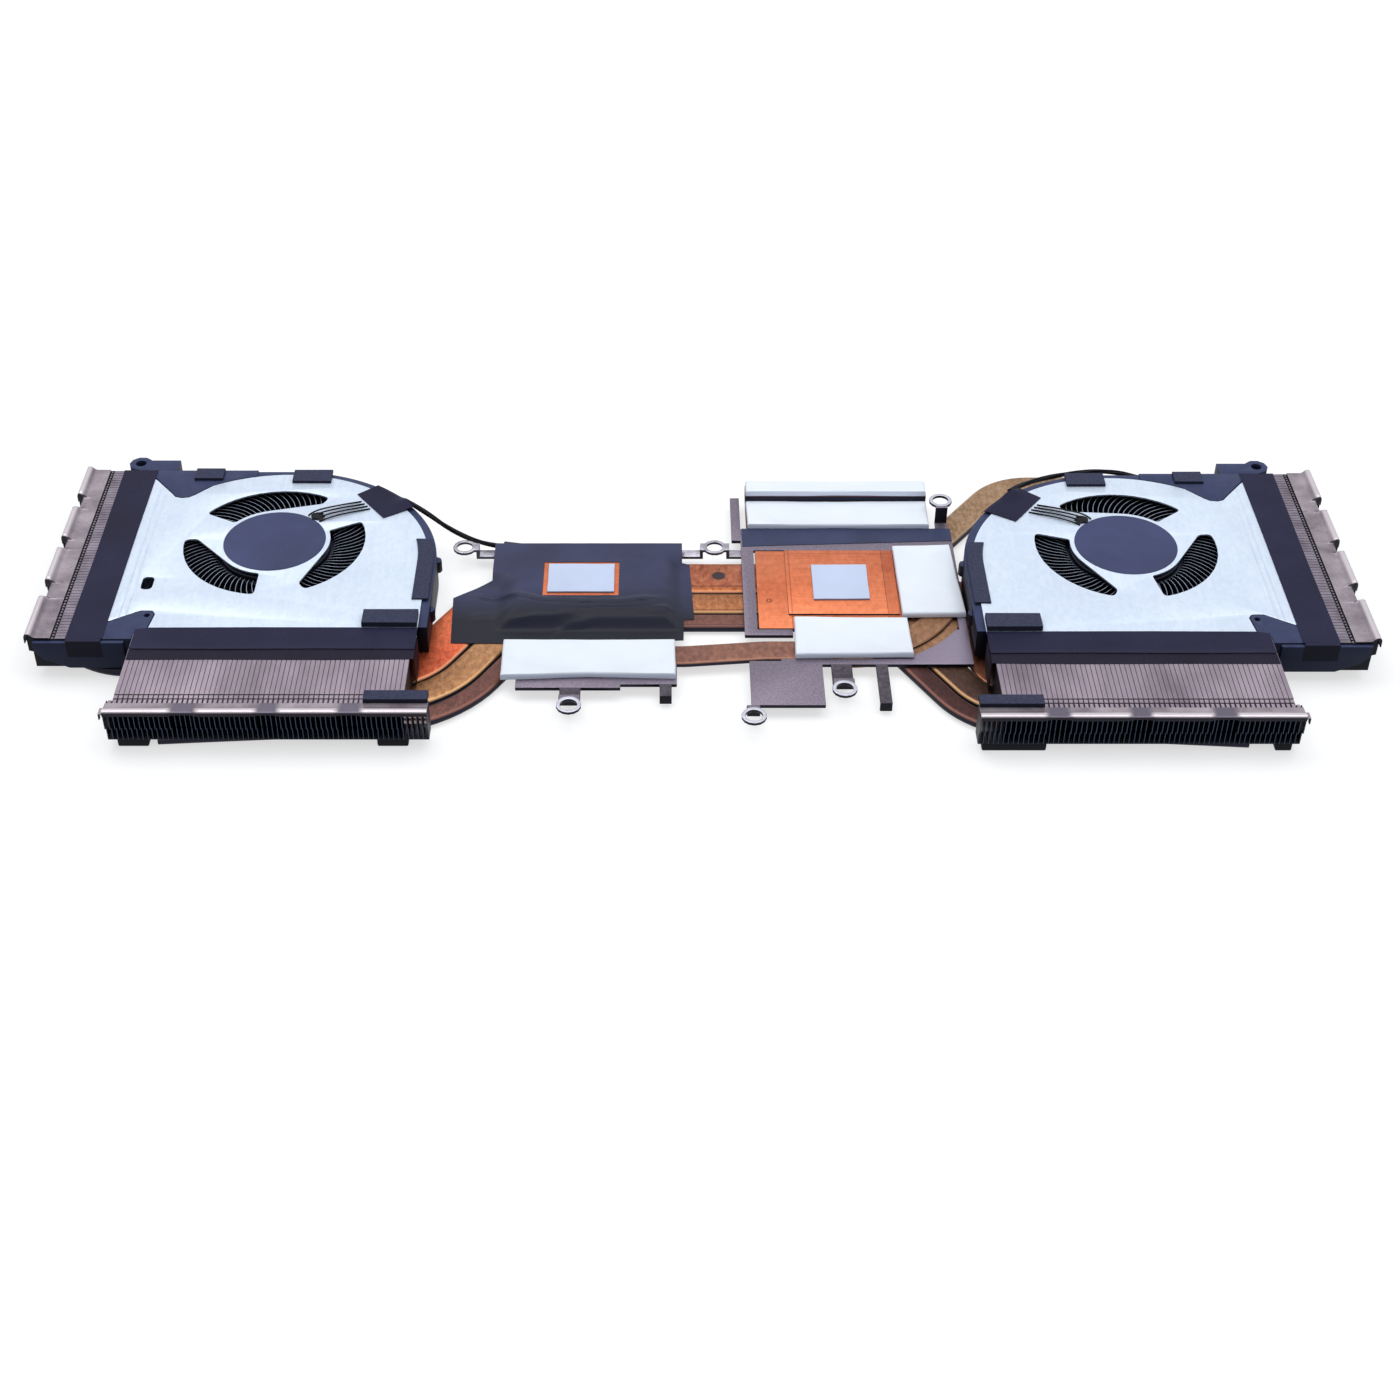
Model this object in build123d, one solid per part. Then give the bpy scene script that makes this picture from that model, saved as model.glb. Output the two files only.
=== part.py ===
import os
from math import acos, atan2, cos, degrees, radians, sin, sqrt, tan
from build123d import *

# Dual-fan laptop cooling module, contact side up, millimetres.
# X runs along the module, Y away from the long fin stacks, Z up from the surface that it lies on.

# Layout of the two fans
fan_inset = 68.75            # inner edge of each housing, from the middle of the module
left_fan_y = 14.7
right_fan_y = 13.05
seat_gap = 0.3               # clearance between pieces with curved or cut-out edges
running_gap = 0.08           # shaft in its bearing

# Heights shared by both fans
pipe_height = 2.4            # flattened heat pipe
module_top = 11.0            # fan cover plate and fin tops
plate_thick = 0.5
tape_thick = 0.12

# Fan housing
rim_width = 2.2              # housing edge beyond the round edge of the cover plate
housing_wall = 2.8           # carries the edge of the cover plate
housing_drop = 9.1           # centre of the housing arc, in front of the fan axis
floor_bottom = 1.2
floor_thick = 0.8
pipe_relief = 0.3            # housing stays this far above the heat pipes
floor_side = 37.0            # floor edge at the side outlet
floor_front = 37.0           # housing edge at the front outlet
pipe_strip_rear = 30.7       # floor edge in front of the axis, clear of the pipe below
bend_cut = (6.0, 3.1)        # corner cut over the bend of that pipe
pipe_corner = (17.5, -26.0)  # cut for the nested bends: depth behind the front edge, end along it
cut_margin = 1.0             # cuts run this far past the edges
shelf_left, shelf_front = 9.2, 18.4  # raised shelf in the rear corner
sill_width = 1.6             # low sill along the side outlet
sill_top = 3.2
boss_x, boss_out = 42.3, 3.5  # rear screw boss, behind the rear wall
boss_radius = 3.2
boss_hole_r = 1.45
boss_facets, post_facets = 10, 8
boss_bottom = 4.2
arm_start = 31.5             # where the boss arm leaves the rear wall
arm_bottom = 7.5
lug_x, lug_y = 27.6, 32.6    # screw lug between the two outlets, in front of the axis
lug_radius = 2.0
lug_hole_r = 0.8
lug_hole_bottom = 5.7
end_wall_thick = 1.1
end_wall_out = 54.2
end_wall_in = 31.6
end_wall_slope = ((2.4, 2.5), (0.0, 5.0))  # raised outer end: inset and rise of its two corners
post_radius = 1.4
post_out = 0.3               # posts sit this far inside the wall's face
post_y = (-5.5, -27.0)
post_top = 8.8

# Fan cover plate
plate_radius = 41.0
plate_side = 37.5
plate_front = 38.5
plate_arc_end = 20.5         # where the round edge ends at the rear
plate_corner = 10.4          # rear corner beyond the scallop
scallop_x, scallop_y = 28.2, 20.4
scallop_right, scallop_left = (3.0, 2.4), (-3.4, 1.4)
notch_slant = (1.2, 1.4, 1.0, 3.0)  # sloped edges of the notch round the screw lug
hub_label_r = 13.4
intake_inner_r = 14.6
intake_outer_r = 23.8
intake_tip_r = 21.8
intake_start_angles = (33, 157, 275)
intake_sweep = 90
intake_inset = 3             # degrees that the inner edge starts later
intake_tip_back = 2
right_intake_turn = 10       # the right plate's openings are turned
intake_corner = 0.9
slot_x, slot_y = 30.0, -18.8
slot_length, slot_width, slot_turn = 5.4, 3.0, 90

# Rotor and motor
blade_count = 27
blade_tip_r = 30.0
blade_mid_r = 22.5
blade_mid_sweep = 9          # degrees that the blade trails at its middle
blade_tip_sweep = 26
blade_thick = 0.5
blade_bottom, blade_top = 3.4, 9.4
hub_outer_r = 14.4
hub_wall = 1.4
hub_bottom = 2.6
root_disc_r = 17.0           # disc that carries the blade roots
rotor_facets, motor_facets, label_facets = 12, 8, 36
magnet_fit = 0.1             # magnet in the hub cup
magnet_thick = 1.1
magnet_bottom, magnet_top = 4.2, 9.0
stator_gap = 0.5             # air gap to the magnet
stator_bottom, stator_top = 4.6, 9.0
stator_core_r = 5.2
stator_poles = 6
pole_width = 2.6
pole_inset = 0.2
shaft_r = 1.1
shaft_top = 9.8
sleeve_wall = 1.6
sleeve_bottom = 4.4
sleeve_flange_r = 6.0
sleeve_flange = 0.7

# Fin stacks
fin_pitch = 2.8
fin_thick = 0.28
fit_slack = 0.01             # rounding slack when fins are counted
fin_fold = 0.35              # folded fin tops that make the upper face
fin_step_bottom = 6.4        # lower edge of the fin noses under the lips
side_fin_in, side_fin_out, side_fin_nose = 38.5, 54.6, 56.1
side_stack_front, side_stack_rear = -42.4, 34.0
side_cap_in = 49.8
side_lips = ((-42.0, -25.8), (-19.0, -4.4), (0.4, 14.7), (20.4, 34.0))
front_fin_in, front_fin_out, front_fin_nose = 40.2, 71.0, 72.0
front_stack_left, front_stack_right = -40.5, 29.4
front_strip_left, front_strip_right = -46.2, 31.0
front_strip_in = 66.6
front_cap_in = 68.0
front_lips = ((-46.2, -30.4), (-24.8, -10.6), (-5.5, 9.1), (15.0, 31.0))
cap_thick = 0.3
lip_out = 0.3                # lip beyond the fin noses
lip_rise = 0.6
lip_root = 1.7               # width of the rolled lip
lip_crest = (0.8, 0.2)       # rolled crest, from the lip's edge
lip_round, lip_drop = 0.3, 0.2
side_tape_out = 46.0
front_tape_out = 50.9
tape_lap = 0.7               # tape lap over the cover plate

# Soft trim on the fan modules: x range, y range and thickness
foam_strips = (
    (-40.8, -27.0, -37.6, -32.0, 1.5),
    (-46.0, -30.6, -67.8, -64.4, 1.3),
    (-42.0, -38.2, -26.0, 0.6, 0.4),
    (-11.5, -1.0, 27.6, 33.2, 0.8),
    (18.2, 26.0, 29.0, 33.9, 0.8),
)
left_feet = ((-41.0, -33.5), (21.5, 29.0))
right_feet = ((-45.0, -29.5), (25.5, 29.5))
foot_back, foot_front = 67.6, 70.8

# Motor leads and cables
lead_r = 0.34
lead_facets, cable_facets = 4, 4
lead_gap = 0.3               # between the hub label and the leads
lead_tuck = 13.6             # leads end this far inside the plate's round edge
lead_start_angles = (124, 130, 136, 142)
lead_end_angles = (139, 142, 145, 148)
cable_r = 0.7
cable_bend = 0.45            # share of the shorter leg that a bend takes
plug_size = (5.0, 3.2, 1.4)
# Points along the housing rim: distance out from the wall, angle about the housing arc and height
patch_rim = ((-6.6, 122.0), (-0.8, 125.5), (-2.1, 144.8), (-9.3, 144.5))
left_cable_rim = ((-0.44, 141.4, 11.75), (1.82, 148.5, 10.6))
left_cable_run = ((-66.95, 25.6, 7.2), (-58.45, 23.3, 4.1), (-52.55, 22.1, 4.1))
right_cable_rim = (
    (0.2, 129.5, 11.75),
    (3.0, 119.8, 9.8),
    (3.4, 103.7, 9.6),
    (3.3, 87.5, 10.0),
    (4.1, 74.0, 7.2),
    (6.7, 65.7, 7.2),
)

# Heat pipes: width, the line across the blocks and the line below the long stacks
pipe_edge = 0.9              # rounding of the flattened edges
pipe_gap = 0.4
wide_pipe_w, middle_pipe_w, narrow_pipe_w, bridge_pipe_w, rear_pipe_w = 13.3, 8.5, 5.7, 7.6, 8.5
wide_pipe_y = 10.5
left_stack_pipe_y = -29.8    # widest pipe below the left stack
right_stack_pipe_y = -42.3   # middle pipe below the right stack
bend_angle = 60
left_bend_x = -49.7          # first bend of the widest pipe
right_bend_x = 46.7          # first bend of the middle pipe
inner_bend_r = 12.0          # smallest centre-line radius of the nested bends
outer_bend_r = 15.0
side_run_x = 47.5            # pipe below a side stack, from the fan axis
side_bend_r = 16.0
side_run_rear = 28.0
wide_pipe_shift = 6.8        # drift of the widest pipe towards the fan, below the left stack
shift_start, shift_end = 23.9, -8.0  # where it drifts, from the fan axis
shift_bend_r = 40.0
narrow_pipe_drift = 4.6      # the narrowest pipe spreads towards the front below the stacks
narrow_pipe_end = 19.5
wide_pipe_end = 47.0
rear_pipe_y = 55.0
rear_pipe_start = 17.0
rear_pipe_block_y = 22.3
rear_pipe_bend_x, rear_pipe_rim_x = 60.8, 84.9
rear_pipe_front = -22.0

# Processor block
steel_thick = 1.0
block_plate_top = 4.9
processor_x, processor_y = (-46.0, -10.0), (-9.0, 20.5)
processor_window = (-41.0, -21.2, -1.2, 13.6)
processor_tape_x = (-54.5, -4.4)
processor_tape_y = (-19.5, 22.3)
tape_slope = (-9.4, -13.5)   # where the tape comes down from the plate to the pipes
tape_flap = (-63.6, -18.4, 1.0)
processor_pad_margin = 1.2
supply_pad_thick = 1.7
processor_supply = (-50.0, -6.5, -35.0, -20.0)
processor_bar_x = (-46.2, -6.2)
processor_bar_front = -37.6
bar_notch_x = -20.2
bar_notch = 1.4

# Bridge pipe between the two supply pads
bridge_thick = 1.6
bridge_left_y, bridge_right_y = -24.1, -22.1
bridge_bend_x = (-4.0, 16.0)
bridge_end_x = (-41.0, 43.0)
bridge_bend_r = 30.0
bridge_turn_end = -26         # the pipe turns to this angle about the bracket's round opening
bridge_clear = 0.1            # above the pipes that it crosses

# Graphics block
graphics_x = (11.2, 68.2)
graphics_y = (-28.2, 31.4)
graphics_step_y = -16.2      # front edge left of the bridge pipe
window = (14.5, 66.0, -13.7, 21.4)
opening_x, opening_y, opening_radius = 36.5, 5.9, 34.7
rear_arm = (8.8, 11.3, 25.9, 46.5)
tab_plate = (12.0, 30.2, -44.4, -26.8)
lip_start = 20.0             # front lip along the bridge pipe
graphics_plate_x, graphics_plate_y = (14.9, 52.0), (-13.3, 21.0)
pedestal_x, pedestal_y = (22.7, 51.4), (-8.0, 20.4)
pedestal_rise = 0.7
die_pad = (29.4, 44.0, -2.2, 13.2)
die_pad_thick = 0.5
spreader = (12.9, 62.6, 31.4, 48.4)
spreader_step_y = 42.9
spreader_step = 3.0
thin_pad = 1.5
right_pad = (52.2, 68.0, -8.4, 21.7)
front_pad = (23.5, 53.3, -26.0, -10.2)
graphics_tape_x, graphics_tape_y = (11.6, 66.6), (22.6, 31.4)

# Spring tabs with screw rings
ring_r, ring_hole_r = 3.1, 2.1
ring_facets = 14
tab_thick = 0.8
tab_width = 3.2
wide_tab = 5.2
ring_rise = 2.2
tall_ring_rise = 5.0
strap_y = 20.2
left_ring_x, bridge_ring_x = -62.6, 4.1
front_ring_x, front_ring_y = -32.6, -46.6
tab_ring_x, tab_ring_y = 12.4, -50.7
lip_ring_x, lip_ring_y = 35.0, -40.2
tall_ring_x, tall_ring_y = 66.0, 38.4
processor_hook_x, processor_hook_end = (-10.5, -7.5), -39.8
graphics_hook_x, graphics_hook_end = (43.6, 46.6), -42.6
hook_bottom = 0.6

housing_radius = plate_radius + rim_width
housing_rear = housing_radius - housing_drop
fan_x = fan_inset + housing_radius
boss_y = housing_rear + boss_out
lead_start_r = hub_label_r + lead_gap
lead_end_r = plate_radius - lead_tuck
block_top = pipe_height + steel_thick
plate_bottom = module_top - plate_thick
floor_top = floor_bottom + floor_thick
relief_top = pipe_height + pipe_relief
post_bottom = block_top + supply_pad_thick + seat_gap
sleeve_r = shaft_r + running_gap + sleeve_wall
magnet_outer_r = hub_outer_r - hub_wall - magnet_fit
stator_r = magnet_outer_r - magnet_thick - stator_gap


def block(x0, x1, y0, y1, z0, z1):
    return Pos((x0 + x1) / 2, (y0 + y1) / 2, (z0 + z1) / 2) * Box(x1 - x0, y1 - y0, z1 - z0)


def tube(radius, bore, z0, z1, x=0.0, y=0.0):
    ring = Circle(radius) - Circle(bore) if bore else Circle(radius)
    return extrude(Pos(x, y, z0) * ring, z1 - z0)


def slab(outline, z0, z1):
    return extrude(Pos(0, 0, z0) * outline, z1 - z0)


def polar(radius, angle):
    return radius * cos(radians(angle)), radius * sin(radians(angle))


def rect(x0, x1, y0, y1):
    return Pos((x0 + x1) / 2, (y0 + y1) / 2) * Rectangle(x1 - x0, y1 - y0)


def polygon(points):
    return make_face(Polyline(*points, close=True))


# Fan cover plate

def plate_outline():
    arc_x = plate_arc_end
    arc_y = sqrt(plate_radius ** 2 - arc_x ** 2) - housing_drop
    corner_y = scallop_y + plate_corner
    notch_y = -lug_y + lug_radius
    right_lobe = (scallop_x + scallop_right[0], scallop_y + scallop_right[1])
    left_lobe = (scallop_x + scallop_left[0], scallop_y + scallop_left[1])
    edge = [
        Line((plate_side, corner_y), right_lobe),
        ThreePointArc(right_lobe, (scallop_x, scallop_y), left_lobe),
        Line(left_lobe, (arc_x, arc_y)),
        ThreePointArc((arc_x, arc_y), (0, plate_radius - housing_drop), (-plate_radius, -housing_drop)),
        Polyline(
            (-plate_radius, -housing_drop),
            (-plate_radius, -plate_front),
            (lug_x - notch_slant[0], -plate_front),
            (lug_x - lug_radius, notch_y - notch_slant[1]),
            (lug_x - lug_radius + notch_slant[2], notch_y),
            (lug_x + lug_radius, notch_y),
            (plate_side, -plate_front + notch_slant[3]),
            (plate_side, corner_y),
        ),
    ]
    return make_face(edge)


def intake_opening(start):
    tip, first = start + intake_sweep - intake_tip_back, start + intake_inset
    touch = tip - degrees(acos(intake_inner_r / intake_tip_r))
    edge = [
        Line(polar(intake_inner_r, first), polar(intake_outer_r, start)),
        ThreePointArc(
            polar(intake_outer_r, start),
            polar(intake_outer_r, start + intake_sweep / 2),
            polar(intake_outer_r, start + intake_sweep),
        ),
        Line(polar(intake_outer_r, start + intake_sweep), polar(intake_tip_r, tip)),
        Line(polar(intake_tip_r, tip), polar(intake_inner_r, touch)),
        ThreePointArc(
            polar(intake_inner_r, touch),
            polar(intake_inner_r, (touch + first) / 2),
            polar(intake_inner_r, first),
        ),
    ]
    opening = make_face(edge)
    ends = opening.vertices().sort_by_distance((0, 0))
    return chamfer(ends[2:], intake_corner)


def fan_plate(with_slot, turn):
    sheet = plate_outline()
    for start in intake_start_angles:
        sheet -= intake_opening(start + turn)
    if with_slot:
        slot = Rectangle(slot_length, slot_width)
        sheet -= Pos(slot_x, slot_y) * Rot(0, 0, slot_turn) * chamfer(slot.vertices(), slot_width / 4)
    return slab(sheet, plate_bottom, module_top)


# Fan housing

def housing_area(radius, side, front, rear):
    area = Pos(0, -housing_drop) * Circle(radius) & rect(-radius, side, -housing_drop, rear)
    area += rect(-radius, side, -front, -housing_drop)
    return area + rect(0, side, -housing_drop, rear)


def pipe_corners():
    depth, end = pipe_corner
    left, front = -housing_radius - 2 * post_radius, -floor_front - cut_margin
    inner = polygon((
        (left, depth - floor_front),
        (-housing_radius + cut_margin, depth - floor_front),
        (end, front),
        (left, front),
    ))
    right, rear = floor_side + cut_margin, -pipe_strip_rear
    bend = polygon((
        (floor_side - bend_cut[0], rear - cut_margin),
        (right, rear - cut_margin),
        (right, rear + bend_cut[1]),
        (floor_side - bend_cut[0], rear),
    ))
    return inner + rect(left, right, front, rear) + bend


def fan_floor():
    sheet = housing_area(housing_radius, floor_side, floor_front, housing_rear) - pipe_corners()
    return slab(sheet, floor_bottom, floor_top)


def fan_frame():
    rear = housing_rear
    area = housing_area(housing_radius, floor_side, floor_front, rear)
    inner_r = housing_radius - housing_wall
    hollow = housing_area(inner_r, floor_side + housing_wall, floor_front + housing_wall, rear - housing_wall)
    body = slab(area - hollow, floor_top, plate_bottom)
    body += block(floor_side - sill_width, floor_side, -floor_front, rear, floor_top, sill_top)
    cover = offset(plate_outline(), seat_gap, kind=Kind.INTERSECTION)
    body += slab(rect(shelf_left, floor_side, shelf_front, rear) - cover, floor_top, module_top)
    stack_end = side_stack_front
    lug_area = rect(lug_x - lug_radius, side_fin_in, stack_end, -lug_y + lug_radius) - cover
    lug_area -= rect(0, front_stack_right + seat_gap, stack_end, seat_gap - front_fin_in)
    body += slab(lug_area, relief_top, module_top)
    body += slab(lug_area & rect(0, floor_side, -floor_front, 0), floor_top, relief_top)
    end_face = polygon((
        (end_wall_in, relief_top),
        (side_tape_out, relief_top),
        *((end_wall_out - inset, relief_top + rise) for inset, rise in end_wall_slope),
        (end_wall_out, plate_bottom),
        (end_wall_in, plate_bottom),
    ))
    body += extrude(Plane((0, stack_end, 0), x_dir=(1, 0, 0), z_dir=(0, -1, 0)) * end_face, end_wall_thick)
    for y in post_y:
        post = Pos(post_out - housing_radius, y) * RegularPolygon(post_radius, post_facets)
        body += slab(post, post_bottom, post_top)
    body -= slab(pipe_corners(), floor_bottom, relief_top)
    lug_hole = Pos(lug_x, -lug_y) * RegularPolygon(lug_hole_r, post_facets)
    body -= slab(lug_hole, lug_hole_bottom, module_top + cut_margin)
    return [body, boss_arm()]


def boss_arm():
    arm = block(arm_start, boss_x, housing_rear, boss_y + boss_radius / 2, arm_bottom, module_top)
    arm += slab(Pos(boss_x, boss_y) * RegularPolygon(boss_radius, boss_facets), boss_bottom, module_top)
    return arm - tube(boss_hole_r, 0, 0, module_top + cut_margin, boss_x, boss_y)


# Rotor and motor

def blade_outline(turn):
    half = degrees(blade_thick / 2 / blade_mid_r)
    middle, tip = turn - blade_mid_sweep, turn - blade_tip_sweep
    root_r = hub_outer_r - hub_wall / 2
    return polygon((
        polar(root_r, turn + half),
        polar(blade_mid_r, middle + half),
        polar(blade_tip_r, tip + half / 2),
        polar(blade_tip_r, tip - half / 2),
        polar(blade_mid_r, middle - half),
        polar(root_r, turn - half),
    ))


def impeller():
    blades = [blade_outline(turn * 360 / blade_count) for turn in range(blade_count)]
    star = RegularPolygon(hub_outer_r, blade_count) + blades
    star -= RegularPolygon(hub_outer_r - hub_wall, rotor_facets)
    disc = slab(RegularPolygon(root_disc_r, blade_count), hub_bottom, blade_bottom)
    return disc + slab(star, blade_bottom, blade_top)


def rotor_shaft():
    return slab(RegularPolygon(shaft_r, motor_facets), blade_bottom, shaft_top)


def magnet_ring():
    ring = RegularPolygon(magnet_outer_r, rotor_facets)
    ring -= RegularPolygon(magnet_outer_r - magnet_thick, rotor_facets)
    return slab(ring, magnet_bottom, magnet_top)


def bearing_sleeve():
    bore = RegularPolygon(shaft_r + running_gap, motor_facets, major_radius=False)
    sleeve = slab(RegularPolygon(sleeve_r, motor_facets), sleeve_bottom, plate_bottom)
    sleeve += slab(RegularPolygon(sleeve_flange_r, motor_facets), plate_bottom - sleeve_flange, plate_bottom)
    return sleeve - slab(bore, sleeve_bottom, plate_bottom)


def stator():
    core = RegularPolygon(stator_core_r, stator_poles)
    arm = rect(0, stator_r - pole_inset, -pole_width / 2, pole_width / 2)
    for pole in range(stator_poles):
        core += Rot(0, 0, pole * 360 / stator_poles) * arm
    core -= RegularPolygon(sleeve_r + seat_gap, motor_facets, major_radius=False)
    return slab(core, stator_bottom, stator_top)


def hub_label():
    return slab(RegularPolygon(hub_label_r, label_facets), module_top, module_top + tape_thick)


# Fin stacks

def fin_places(start, end):
    gaps = round((end - start - fin_thick) / fin_pitch)
    return [start + place * (end - start - fin_thick) / gaps for place in range(gaps + 1)]


def comb(places, bottom):
    points = [(places[0], module_top), (places[-1] + fin_thick, module_top)]
    fold = module_top - fin_fold
    for place, before in zip(places[:0:-1], places[-2::-1]):
        points += [(place + fin_thick, bottom), (place, bottom), (place, fold), (before + fin_thick, fold)]
    points += [(places[0] + fin_thick, bottom), (places[0], bottom)]
    return polygon(points)


def inside(places, low, high):
    first, last = low - fit_slack, high - fin_thick + fit_slack
    return [place for place in places if first <= place <= last]


def side_fins():
    places = fin_places(side_stack_front, side_stack_rear)
    start = Plane((side_fin_in, 0, 0), x_dir=(0, 1, 0), z_dir=(1, 0, 0))
    nose = Plane((side_fin_out, 0, 0), x_dir=(0, 1, 0), z_dir=(1, 0, 0))
    stack = extrude(start * comb(places, pipe_height), side_fin_out - side_fin_in)
    for low, high in side_lips:
        tips = comb(inside(places, low, high), fin_step_bottom)
        stack += extrude(nose * tips, side_fin_nose - side_fin_out)
    return stack


def front_fins():
    places = fin_places(front_strip_left, front_strip_right)
    x_dir, z_dir = (1, 0, 0), (0, -1, 0)
    start = Plane((0, -front_fin_in, 0), x_dir=x_dir, z_dir=z_dir)
    strip = Plane((0, -front_strip_in, 0), x_dir=x_dir, z_dir=z_dir)
    nose = Plane((0, -front_fin_out, 0), x_dir=x_dir, z_dir=z_dir)
    rear = comb(inside(places, front_stack_left, front_stack_right), pipe_height)
    stack = extrude(start * rear, front_strip_in - front_fin_in)
    stack += extrude(strip * comb(places, pipe_height), front_fin_out - front_strip_in)
    for low, high in front_lips:
        tips = comb(inside(places, low, high), fin_step_bottom)
        stack += extrude(nose * tips, front_fin_nose - front_fin_out)
    return stack


def lip_profile(outer):
    top = module_top + cap_thick
    return polygon((
        (outer - lip_root, top),
        (outer - lip_crest[0], top + lip_rise),
        (outer - lip_crest[1], top + lip_rise),
        (outer, top + lip_rise - lip_round),
        (outer, module_top - lip_drop),
        (outer - lip_out, module_top - lip_drop),
        (outer - lip_out, module_top),
        (outer - lip_root, module_top),
    ))


def side_fin_cap():
    outer = side_fin_nose + lip_out
    top = module_top + cap_thick
    cap = block(side_cap_in, outer - lip_root, side_stack_front, side_stack_rear, module_top, top)
    for low, high in side_lips:
        profile = Plane((0, high, 0), x_dir=(1, 0, 0), z_dir=(0, -1, 0)) * lip_profile(outer)
        cap += extrude(profile, high - low)
    return cap


def front_fin_cap():
    outer = front_fin_nose + lip_out
    top = module_top + cap_thick
    cap = block(front_strip_left, front_strip_right, -outer + lip_root, -front_cap_in, module_top, top)
    for low, high in front_lips:
        profile = Plane((low, 0, 0), x_dir=(0, -1, 0), z_dir=(-1, 0, 0)) * lip_profile(outer)
        cap += extrude(profile, low - high)
    return cap


# Tapes, foam, feet and leads of a fan module

def side_tape():
    return block(plate_side - tape_lap, side_tape_out, side_stack_front, side_stack_rear,
                 module_top, module_top + tape_thick)


def front_tape():
    return block(-plate_radius, front_stack_right, -front_tape_out, -plate_front + tape_lap,
                 module_top, module_top + tape_thick)


def foam_pads():
    return [block(x0, x1, y0, y1, module_top, module_top + thick) for x0, x1, y0, y1, thick in foam_strips]


def rubber_feet(ranges):
    return [block(x0, x1, -foot_front, -foot_back, 0, pipe_height) for x0, x1 in ranges]


def motor_wires():
    wires = []
    for first, last in zip(lead_start_angles, lead_end_angles):
        start = Vector(*polar(lead_start_r, first), module_top + lead_r)
        end = Vector(*polar(lead_end_r, last), module_top + lead_r)
        section = Plane(start, z_dir=end - start) * RegularPolygon(lead_r, lead_facets)
        wires.append(extrude(section, (end - start).length))
    return wires


def wire_tape():
    patch = polygon([rim_point(out, angle) for out, angle in patch_rim])
    return slab(patch, module_top, module_top + 2 * tape_thick)


def rim_point(out, angle, z=0.0):
    x, y = polar(housing_radius + out, angle)
    return x, y - housing_drop, z


def left_cable():
    run = [(-fan_x - x, y - left_fan_y, z) for x, y, z in left_cable_run]
    return [rim_point(*place) for place in left_cable_rim] + run


def right_cable():
    return [rim_point(*place) for place in right_cable_rim]


def cable(points):
    path = [Vector(*point) for point in points]
    radii = []
    for before, here, after in zip(path, path[1:], path[2:]):
        turn = (here - before).get_angle(after - here)
        short = min((here - before).length, (after - here).length)
        radii.append(cable_bend * short / tan(radians(turn / 2)))
    route = FilletPolyline(*path, radius=radii)
    return sweep(Plane(route @ 0, z_dir=route % 0) * RegularPolygon(cable_r, cable_facets), path=route)


def cable_plug(points):
    before, end = points[-2:]
    turn = degrees(atan2(end[1] - before[1], end[0] - before[0]))
    length, width, height = plug_size
    return Pos(*end) * Rot(0, 0, turn) * Pos(length / 2, 0, 0) * Box(length, width, height)


# Heat pipes

def flat_pipe(points, radii, width, bottom=0.0, height=pipe_height):
    route = FilletPolyline(*points, radius=radii)
    along = route % 0
    start = Plane(route @ 0, x_dir=(-along.Y, along.X, 0), z_dir=along)
    half, middle = width / 2, bottom + height / 2
    section = polygon((
        (-half, middle),
        (-half + pipe_edge, bottom),
        (half - pipe_edge, bottom),
        (half, middle),
        (half - pipe_edge, bottom + height),
        (-half + pipe_edge, bottom + height),
    ))
    return sweep(start * section, path=route)


def pipe_step(first_w, second_w):
    return first_w / 2 + pipe_gap + second_w / 2


middle_step = pipe_step(wide_pipe_w, middle_pipe_w)
narrow_step = middle_step + pipe_step(middle_pipe_w, narrow_pipe_w)
bend_shift = tan(radians(bend_angle / 2))
bend_slope = tan(radians(bend_angle))


def left_bends(step):
    y, stack_y = wide_pipe_y - step, left_stack_pipe_y - step
    first_x = left_bend_x + step * bend_shift
    return (first_x, y), (first_x - (y - stack_y) / bend_slope, stack_y)


def right_bends(step):
    y, stack_y = wide_pipe_y - step, right_stack_pipe_y - step + middle_step
    first_x = right_bend_x - (step - middle_step) * bend_shift
    return (first_x, y), (first_x + (y - stack_y) / bend_slope, stack_y)


def wide_pipe():
    first, second = left_bends(0)
    run_x = -fan_x - side_run_x
    run_y = left_stack_pipe_y + wide_pipe_shift
    points = (
        (wide_pipe_end, wide_pipe_y),
        first,
        second,
        (shift_start - fan_x, left_stack_pipe_y),
        (shift_end - fan_x, run_y),
        (run_x, run_y),
        (run_x, left_fan_y + side_run_rear),
    )
    radii = (inner_bend_r + narrow_step, outer_bend_r, shift_bend_r, shift_bend_r, side_bend_r)
    return flat_pipe(points, radii, wide_pipe_w)


def cross_pipe(step, width, stack_end, drift=0.0):
    first, second = left_bends(step)
    third, fourth = right_bends(step)
    end = fan_x + stack_end
    inner = inner_bend_r + narrow_step - step
    points = ((-end, second[1] - drift), second, first, third, fourth, (end, fourth[1] - drift))
    radii = (outer_bend_r + step, inner, inner, outer_bend_r + step - middle_step)
    return flat_pipe(points, radii, width)


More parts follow.
